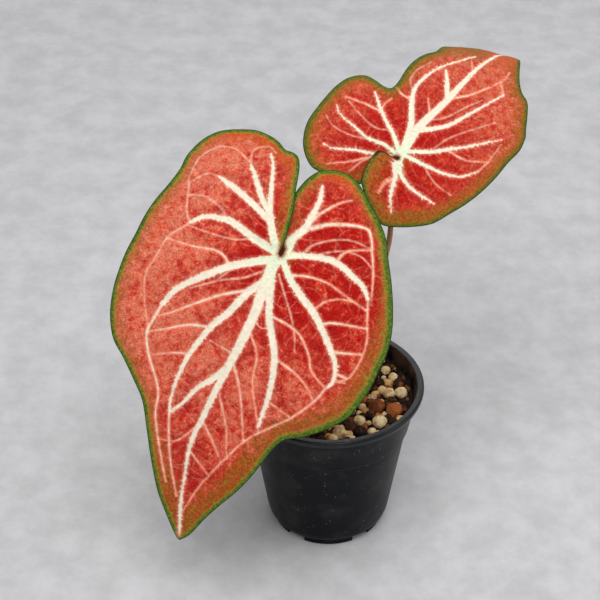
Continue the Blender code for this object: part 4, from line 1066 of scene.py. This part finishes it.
def makePot():
    p = pot
    floor, top, ring = p["lift"] + p["wall"], p["height"], p["ring"]
    corners = [
        (0, floor, 0), (p["wallFoot"] - p["wall"], floor, 2.2),
        (p["wallTop"] - p["wall"], p["collarHeight"] - 1.0, 0.5),
        (p["collarFoot"] - p["wall"], p["collarHeight"] + 0.8, 0.5),
        (p["collarTop"] - p["wall"], top - 4.0, 1.2),
        (41.4, top - 0.9, 0.8), (41.7, top, 0.5), (44.6, top, 0.9), (p["rim"], top - 1.2, 0.8),
        (44.6, top - 3.0, 1.0), (43.4, top - 4.2, 0.7), (p["collarTop"], top - 4.5, 0.5),
        (p["collarFoot"], p["collarHeight"], 0.7), (p["wallTop"], p["collarHeight"] - 0.9, 0.4),
        (p["wallFoot"] + 0.15, p["lift"] + 3.2, 3.0), (p["wallFoot"] - 0.9, p["lift"] + 0.3, 1.6),
        (ring + 0.3, p["lift"] - 0.1, 0.4), (ring, 0.0, 0.25), (ring - p["ringWidth"], 0.0, 0.25),
        (ring - p["ringWidth"] - 0.3, p["lift"], 0.3), (p["pad"] + 0.8, p["lift"], 0.3),
        (p["pad"], 0.0, 0.25), (0, 0.0, 0),
    ]
    body = turnedPiece("potShell", roundedProfile(corners), p["steps"], potMaterial(), 50)
    tools = bpy.data.collections.new("drainTools")
    bpy.context.scene.collection.children.link(tools)
    for k in range(p["drains"]):
        angle = math.radians(p["firstDrain"] + 360 * k / p["drains"])
        spot = Vector((math.cos(angle), math.sin(angle), 0))
        bpy.ops.mesh.primitive_cylinder_add(
            vertices=40, radius=p["drainRadius"] * mm, depth=8 * mm,
            location=spot * p["drainAt"] * mm + Vector((0, 0, 3 * mm)))
        first = bpy.context.object
        bpy.ops.mesh.primitive_cube_add(
            size=1, location=spot * ring * mm + Vector((0, 0, (p["lift"] / 2 - 0.7) * mm)),
            rotation=(0, 0, angle), scale=(7 * mm, p["notch"] * mm, (p["lift"] + 0.8) * mm))
        for tool in (first, bpy.context.object):
            for owner in list(tool.users_collection):
                owner.objects.unlink(tool)
            tools.objects.link(tool)
    cut = body.modifiers.new("drains", "BOOLEAN")
    cut.operation, cut.operand_type, cut.collection = "DIFFERENCE", "COLLECTION", tools
    cut.solver = "EXACT"
    bpy.context.view_layer.update()
    settle(body)
    for tool in list(tools.objects):
        bpy.data.objects.remove(tool)
    bpy.data.collections.remove(tools)
    body.data.shade_smooth()
    body.data.set_sharp_from_angle(angle=math.radians(50))
    floatAttribute(body.data, "inner", [
        float(v.co.xy.length > 0.001 and v.normal.xy.dot(v.co.xy.normalized()) < -0.3)
        for v in body.data.vertices])
    return body


declare(makePot(), "pot")
print("pot made")


# the soil and its grains

soil = {"height": 72.5, "reach": 39.4, "steps": 120, "rings": 34, "crumbSeed": 5,
        "grainSeed": 21, "stalks": [(-4.5, 2.8, 2.9), (7.0, 5.5, 2.7)]}

# the grains that show best: x, y, radius, tone (0 dark earth, 0.5 bark, 1 pale pumice)
shownGrains = [
    (27.5, 17.0, 2.4, 0.90), (31.0, 11.3, 2.6, 0.97), (26.5, 12.4, 1.3, 0.92),
    (25.6, 2.4, 2.5, 0.86), (28.6, -0.4, 2.9, 0.93), (34.2, -0.8, 3.1, 0.98),
    (24.6, -6.3, 1.5, 0.74), (15.5, -10.6, 1.8, 0.9), (13.8, -14.7, 1.5, 0.85),
    (14.0, -20.3, 2.8, 0.95), (18.0, -22.6, 1.4, 0.8), (23.2, -22.0, 3.6, 0.99),
    (19.4, -28.0, 2.1, 0.93), (8.2, -31.2, 2.4, 0.96), (10.2, -33.6, 1.8, 0.88),
    (4.6, -29.6, 3.2, 0.92), (1.2, -34.6, 2.6, 0.9), (22.2, -11.4, 4.3, 0.42),
    (30.3, -14.0, 3.8, 0.55), (25.1, 7.6, 2.4, 0.12), (29.6, -5.6, 2.3, 0.2),
    (33.2, 6.0, 2.8, 0.25), (14.2, -28.4, 3.1, 0.08), (9.6, -25.5, 2.7, 0.3),
    (19.0, -16.6, 2.4, 0.15), (27.2, -18.8, 2.2, 0.22), (35.0, -7.6, 2.3, 0.1),
]


def soilSurface(x, y):
    swell = 0.6 * math.sin(0.19 * x + 0.6) * math.cos(0.16 * y - 0.4)
    ripple = 0.35 * math.sin(0.55 * x - 0.3 * y) * math.cos(0.47 * y + 0.8)
    return soil["height"] + swell + ripple


def potInside(height):
    p = pot
    return float(np.interp(height, [p["lift"] + p["wall"], p["collarHeight"] - 1,
                                    p["collarHeight"] + 0.8, p["height"] - 4, p["height"]],
                           [p["wallFoot"] - p["wall"], p["wallTop"] - p["wall"],
                            p["collarFoot"] - p["wall"], p["collarTop"] - p["wall"], 41.4]))


def earthMaterial(name, readTone):
    made, tree, shader = newMaterial(name)
    place = addNode(tree, "ShaderNodeTexCoord").outputs["Object"]
    rough = noiseAt(tree, place, 420.0, 5.0, 0.7)
    pores = addNode(tree, "ShaderNodeTexVoronoi", {"Vector": place, "Scale": 1500.0})
    flecks = useGroup(tree, speckle, {"Vector": place, "Scale": 900.0, "Strength": 0.55})
    shader.inputs["Specular IOR Level"].default_value = 0.25
    if readTone:
        tone = addNode(tree, "ShaderNodeAttribute", attribute_name="tone").outputs["Fac"]
        ramp = addNode(tree, "ShaderNodeValToRGB", {"Fac": tone})
        stops = [(0.0, srgb(26, 19, 16)), (0.22, srgb(46, 30, 23)), (0.34, srgb(84, 44, 28)),
                 (0.5, srgb(146, 74, 38)), (0.62, srgb(190, 112, 54)), (0.76, srgb(234, 188, 122)),
                 (1.0, srgb(252, 228, 178))]
        ramp.color_ramp.elements.remove(ramp.color_ramp.elements[1])
        for k, (at, colour) in enumerate(stops):
            stop = ramp.color_ramp.elements[0] if k == 0 else ramp.color_ramp.elements.new(at)
            stop.position, stop.color = at, colour
        colour = ramp.outputs[0]
        stain = ease(tree, noiseAt(tree, place, 260.0, 3.0, 0.6), 0.5, 0.66, 0.0, 0.6)
        colour = blend(tree, stain, colour, srgb(176, 104, 46))
        # painted shade: the grains darkened to brown in the pores, where the bump sinks
        poreShade = ease(tree, pores.outputs["Distance"], 0.0, 0.28, 0.5, 0.0)
        colour = blend(tree, poreShade, colour, srgb(84, 52, 32))
    else:
        colour = blend(tree, ease(tree, rough, 0.35, 0.7), srgb(14, 10, 9), srgb(46, 31, 24))
    colour = blend(tree, 1.0, colour, flecks.outputs["Tint"], "MULTIPLY")
    tree.links.new(colour, shader.inputs["Base Color"])
    shader.inputs["Roughness"].default_value = 0.9
    height = calc(tree, "MULTIPLY_ADD", rough, 0.8,
                  calc(tree, "MULTIPLY", pores.outputs["Distance"], 0.5))
    bump = addNode(tree, "ShaderNodeBump", {"Strength": 0.9, "Distance": 0.0007,
                                            "Height": height})
    tree.links.new(bump.outputs[0], shader.inputs["Normal"])
    return made


def makeSoilBody(material):
    floor = pot["lift"] + pot["wall"] + 0.15
    levels = [floor + 1.5, 20, 38, pot["collarHeight"] - 1.2, pot["collarHeight"] + 1.2, 66,
              soil["height"] - 0.6]
    profile = [(0, floor), (potInside(floor) - 2.2, floor)]
    profile += [(potInside(z) - 0.25, z) for z in levels]
    reach = potInside(soil["height"]) - 0.25
    profile += [(reach * (1 - k / soil["rings"]) ** 0.9, soil["height"])
                for k in range(soil["rings"])] + [(0, soil["height"])]
    body = turnedPiece("soilBody", profile, soil["steps"], material, 70)
    for vert in body.data.vertices:
        x, y, z = (c / mm for c in vert.co)
        if z < soil["height"] - 0.1:
            continue
        out = math.hypot(x, y)
        edge = float(smoothStep(reach, reach - 4, out))
        lump = 0.9 * noise.fractal((x * 0.35, y * 0.35, 3.0), 0.9, 2.0, 3)
        crumb = 0.35 * noise.noise((x * 1.7, y * 1.7, 8.0))
        height = soil["height"] + (soilSurface(x, y) - soil["height"] - 0.5) * edge
        height += (lump + crumb) * (0.35 + 0.65 * edge)
        for u, v, r in soil["stalks"]:
            away = math.hypot(x - u, y - v)
            height -= 1.4 * float(smoothStep(r + 1.6, r, away)) * (away > r - 1.5)
        vert.co.z = height * mm
    return body


def makeEmitter():
    # a grid over the soil, open where the shown grains and the stalks stand
    points, faces, index = [], [], {}
    step, reach = 1.0, soil["reach"] - 1.8
    cells = int(reach / step) + 1

    def corner(i, j):
        if (i, j) not in index:
            index[i, j] = len(points)
            points.append((i * step, j * step, soilSurface(i * step, j * step) + 0.2))
        return index[i, j]

    for i in range(-cells, cells):
        for j in range(-cells, cells):
            x, y = (i + 0.5) * step, (j + 0.5) * step
            blocked = any(math.hypot(x - u, y - v) < r + 0.9 for u, v, r, _ in shownGrains)
            blocked |= any(math.hypot(x - u, y - v) < r + 1.8 for u, v, r in soil["stalks"])
            if math.hypot(x, y) < reach and not blocked:
                faces.append((corner(i, j), corner(i + 1, j), corner(i + 1, j + 1),
                              corner(i, j + 1)))
    mesh = bpy.data.meshes.new("emitter")
    mesh.from_pydata([tuple(c * mm for c in p) for p in points], [], faces)
    return mesh


def grainTree():
    tree = bpy.data.node_groups.new("scattered grains", "GeometryNodeTree")
    face = tree.interface
    face.new_socket(name="Geometry", in_out="INPUT", socket_type="NodeSocketGeometry")
    for label, kind in (("Spacing", "NodeSocketFloat"), ("Most", "NodeSocketFloat"),
                        ("Smallest", "NodeSocketFloat"), ("Largest", "NodeSocketFloat"),
                        ("Darkness", "NodeSocketFloat"),
                        ("Roundness", "NodeSocketInt"), ("Seed", "NodeSocketInt"),
                        ("Material", "NodeSocketMaterial")):
        face.new_socket(name=label, in_out="INPUT", socket_type=kind)
    face.new_socket(name="Geometry", in_out="OUTPUT", socket_type="NodeSocketGeometry")
    start, end = tree.nodes.new("NodeGroupInput"), tree.nodes.new("NodeGroupOutput")
    ask = start.outputs
    spread = addNode(tree, "GeometryNodeDistributePointsOnFaces",
                     {"Mesh": ask["Geometry"], "Distance Min": ask["Spacing"],
                      "Density Max": ask["Most"], "Seed": ask["Seed"]},
                     distribute_method="POISSON")
    draw = addNode(tree, "FunctionNodeRandomValue", {"Seed": ask["Seed"]}, data_type="FLOAT")
    tone = addNode(tree, "ShaderNodeMath", {0: draw.outputs[1], 1: ask["Darkness"]},
                   operation="POWER")
    toned = addNode(tree, "GeometryNodeStoreNamedAttribute",
                    {"Geometry": spread.outputs["Points"], "Name": "tone",
                     "Value": tone.outputs[0]}, data_type="FLOAT", domain="POINT")
    size = addNode(tree, "FunctionNodeRandomValue", data_type="FLOAT")
    tree.links.new(ask["Smallest"], size.inputs[2])
    tree.links.new(ask["Largest"], size.inputs[3])
    squash = addNode(tree, "FunctionNodeRandomValue", data_type="FLOAT_VECTOR")
    squash.inputs[0].default_value = (0.8, 0.8, 0.62)
    squash.inputs[1].default_value = (1.15, 1.1, 0.9)
    scale = addNode(tree, "ShaderNodeVectorMath", {0: squash.outputs[0], "Scale": size.outputs[1]},
                    operation="SCALE")
    spin = addNode(tree, "FunctionNodeRandomValue", data_type="FLOAT_VECTOR")
    spin.inputs[0].default_value = (-0.5, -0.5, 0.0)
    spin.inputs[1].default_value = (0.5, 0.5, 6.28)
    ball = addNode(tree, "GeometryNodeMeshIcoSphere",
                   {"Radius": 1.0, "Subdivisions": ask["Roundness"]})
    copies = addNode(tree, "GeometryNodeInstanceOnPoints",
                     {"Points": toned.outputs[0], "Instance": ball.outputs[0],
                      "Rotation": spin.outputs[0], "Scale": scale.outputs[0]})
    real = addNode(tree, "GeometryNodeRealizeInstances", {"Geometry": copies.outputs[0]})
    wobble = addNode(tree, "ShaderNodeTexNoise", {"Scale": 520.0, "Detail": 2.0})
    centred = addNode(tree, "ShaderNodeVectorMath",
                      {0: wobble.outputs["Color"], 1: (0.5, 0.5, 0.5)}, operation="SUBTRACT")
    push = addNode(tree, "ShaderNodeVectorMath",
                   {0: centred.outputs[0], "Scale": ask["Largest"]}, operation="SCALE")
    moved = addNode(tree, "GeometryNodeSetPosition",
                    {"Geometry": real.outputs[0], "Offset": push.outputs[0]})
    last = addNode(tree, "GeometryNodeSetMaterial",
                   {"Geometry": moved.outputs[0], "Material": ask["Material"]})
    tree.links.new(last.outputs[0], end.inputs[0])
    return tree


def scatter(name, emitter, tree, material, values):
    piece = bpy.data.objects.new(name, emitter.copy())
    bpy.context.scene.collection.objects.link(piece)
    nodes = piece.modifiers.new(name, "NODES")
    nodes.node_group = tree
    ids = {s.name: s.identifier for s in tree.interface.items_tree if s.in_out == "INPUT"}
    for label, value in dict(values, Material=material).items():
        nodes[ids[label]] = value
    bpy.context.view_layer.update()
    settle(piece)
    piece.data.shade_smooth()
    piece.data.set_sharp_from_angle(angle=math.radians(32))
    return piece


def makeShownGrains(material):
    draw = random.Random(soil["grainSeed"])
    work = bmesh.new()
    tones = []
    for x, y, radius, tone in shownGrains:
        ball = bmesh.ops.create_icosphere(work, subdivisions=3, radius=1.0)["verts"]
        turn = Matrix.Rotation(draw.uniform(0, math.tau), 3, "Z") @ Matrix.Rotation(
            draw.uniform(-0.5, 0.5), 3, "X")
        size = (draw.uniform(0.92, 1.08), draw.uniform(0.85, 1.0), draw.uniform(0.78, 0.92))
        height = soilSurface(x, y) + 0.30 * radius
        start = draw.uniform(0, 50)
        for vert in ball:
            d = vert.co.normalized()
            # facets: broad lumps pull the ball in and out, then finer ones roughen it
            rugged = 1.8 if 0.3 < tone < 0.7 else 1.0
            lump = 1 + 0.16 * rugged * noise.noise(d * 1.3 + Vector((start, 0, 0)))
            lump += 0.08 * rugged * noise.noise(d * 3.2 + Vector((0, start, 0)))
            lump += 0.04 * rugged * noise.noise(d * 8.0 + Vector((0, 0, start)))
            shaped = turn @ Vector([c * s for c, s in zip(d * lump * radius, size)])
            vert.co = (shaped + Vector((x, y, height))) * mm
            tones.append(tone)
    mesh = bpy.data.meshes.new("grainsShown")
    work.to_mesh(mesh)
    work.free()
    mesh.materials.append(material)
    mesh.shade_smooth()
    floatAttribute(mesh, "tone", tones)
    piece = bpy.data.objects.new("grainsShown", mesh)
    bpy.context.scene.collection.objects.link(piece)
    return piece


grainSkin = earthMaterial("grains", True)
declare(makeSoilBody(earthMaterial("earth", False)), "soil")
emitter = makeEmitter()
grains = grainTree()
declare(makeShownGrains(grainSkin), "soil")
declare(scatter("grainsMixed", emitter, grains, grainSkin,
                {"Spacing": 0.0034, "Most": 2000000.0, "Smallest": 0.0014, "Largest": 0.0028,
                 "Darkness": 2.6, "Roundness": 2, "Seed": soil["grainSeed"]}), "soil")
declare(scatter("crumbs", emitter, grains, grainSkin,
                {"Spacing": 0.0013, "Most": 9000000.0, "Smallest": 0.0004, "Largest": 0.0009,
                 "Darkness": 4.5, "Roundness": 1, "Seed": soil["crumbSeed"]}), "soil")
print("soil made")


# the tuber, hidden in the soil

tuber = {"centre": (0.5, 3.0, 52.0), "size": (9.6, 9.6, 7.0), "budTop": 61.0, "seed": 2.0}


def tuberMaterial():
    made, tree, shader = newMaterial("tuber skin")
    place = addNode(tree, "ShaderNodeTexCoord").outputs["Object"]
    flat = addNode(tree, "ShaderNodeMapping", {"Vector": place, "Scale": (1, 1, 5)}).outputs[0]
    rings = noiseAt(tree, flat, 130.0, 4.0, 0.65)
    flecks = useGroup(tree, speckle, {"Vector": place, "Scale": 600.0, "Strength": 0.5})
    colour = blend(tree, ease(tree, rings, 0.35, 0.65), srgb(92, 62, 40), srgb(156, 118, 82))
    colour = blend(tree, 1.0, colour, flecks.outputs["Tint"], "MULTIPLY")
    tree.links.new(colour, shader.inputs["Base Color"])
    shader.inputs["Roughness"].default_value = 0.85
    bump = addNode(tree, "ShaderNodeBump", {"Strength": 0.6, "Distance": 0.0005,
                                            "Height": rings})
    tree.links.new(bump.outputs[0], shader.inputs["Normal"])
    return made


def makeTuber(material):
    work = bmesh.new()
    bmesh.ops.create_icosphere(work, subdivisions=5, radius=1.0)
    x, y, z = tuber["centre"]
    for vert in work.verts:
        d = vert.co.normalized()
        ringed = 1 + 0.02 * math.sin(26 * d.z + 2 * noise.noise(d * 1.5)) * (1 - d.z * d.z)
        lump = 1 + 0.035 * noise.fractal(d * 2.2 + Vector((tuber["seed"], 0, 0)), 1.0, 2.0, 3)
        size = [s * min(ringed * lump, 1.02) for s in tuber["size"]]
        bud = 0.0
        for u, v, r in soil["stalks"]:
            away = math.hypot(d.x * size[0] + x - u, d.y * size[1] + y - v)
            bud = max(bud, float(smoothStep(r + 1.0, r - 1.6, away)))
        top = z + d.z * size[2]
        if d.z > 0:
            top += bud * max(0.0, tuber["budTop"] - top)
        vert.co = Vector((x + d.x * size[0], y + d.y * size[1], top)) * mm
    mesh = bpy.data.meshes.new("tuberBody")
    work.to_mesh(mesh)
    work.free()
    mesh.materials.append(material)
    mesh.shade_smooth()
    piece = bpy.data.objects.new("tuberBody", mesh)
    bpy.context.scene.collection.objects.link(piece)
    return piece


declare(makeTuber(tuberMaterial()), "tuber")
print("tuber made")


# floor, lights and camera

stage = {"floor": 8.0, "keyPower": 13.0, "fillPower": 3.0, "backPower": 2.6, "sky": 0.43}


def floorMaterial():
    made, tree, shader = newMaterial("pale floor")
    place = addNode(tree, "ShaderNodeTexCoord").outputs["Object"]
    cloud = noiseAt(tree, place, 45.0, 8.0, 0.7)
    colour = blend(tree, ease(tree, cloud, 0.3, 0.7), srgb(190, 189, 190), srgb(209, 208, 209))
    tree.links.new(colour, shader.inputs["Base Color"])
    shader.inputs["Roughness"].default_value = 0.75
    return made


half = stage["floor"] / 2
floorMesh = bpy.data.meshes.new("floor")
floorMesh.from_pydata([(-half, -half, 0), (half, -half, 0), (half, half, 0), (-half, half, 0)],
                      [], [(0, 1, 2, 3)])
floorMesh.materials.append(floorMaterial())
floorPiece = bpy.data.objects.new("floor", floorMesh)
bpy.context.scene.collection.objects.link(floorPiece)


def areaLight(name, place, aim, size, power, tint):
    data = bpy.data.lights.new(name, "AREA")
    data.shape, data.size, data.energy, data.color = "DISK", size, power, tint
    lamp = bpy.data.objects.new(name, data)
    lamp.location = place
    lamp.rotation_euler = (Vector(aim) - Vector(place)).to_track_quat("-Z", "Y").to_euler()
    bpy.context.scene.collection.objects.link(lamp)


areaLight("keyLight", (-0.12, -0.5, 1.3), (0, 0, 0.1), 1.2, stage["keyPower"], (1, 1, 1))
areaLight("fillLight", (1.1, -0.1, 0.7), (0, 0, 0.1), 0.8, stage["fillPower"], (1, 1, 1))
areaLight("backLight", (0.1, 0.9, 1.0), (0, 0, 0.1), 0.9, stage["backPower"], (1, 1, 1))

world = bpy.data.worlds.new("studio")
bpy.context.scene.world = world
world.use_nodes = True
world.node_tree.nodes["Background"].inputs["Color"].default_value = srgb(236, 238, 242)
world.node_tree.nodes["Background"].inputs["Strength"].default_value = stage["sky"]

lens = bpy.data.cameras.new("camera")
lens.lens, lens.sensor_width = 102.0, 36.0
lens.clip_start, lens.clip_end = 0.01, 50
camera = bpy.data.objects.new("camera", lens)
camera.location = (-0.01384, -0.62776, 0.5843)
camera.rotation_euler = (math.radians(90 - 36.02), 0, 0)
bpy.context.scene.collection.objects.link(camera)
bpy.context.scene.camera = camera
bpy.context.scene.view_settings.view_transform = "Standard"

print("scene made")
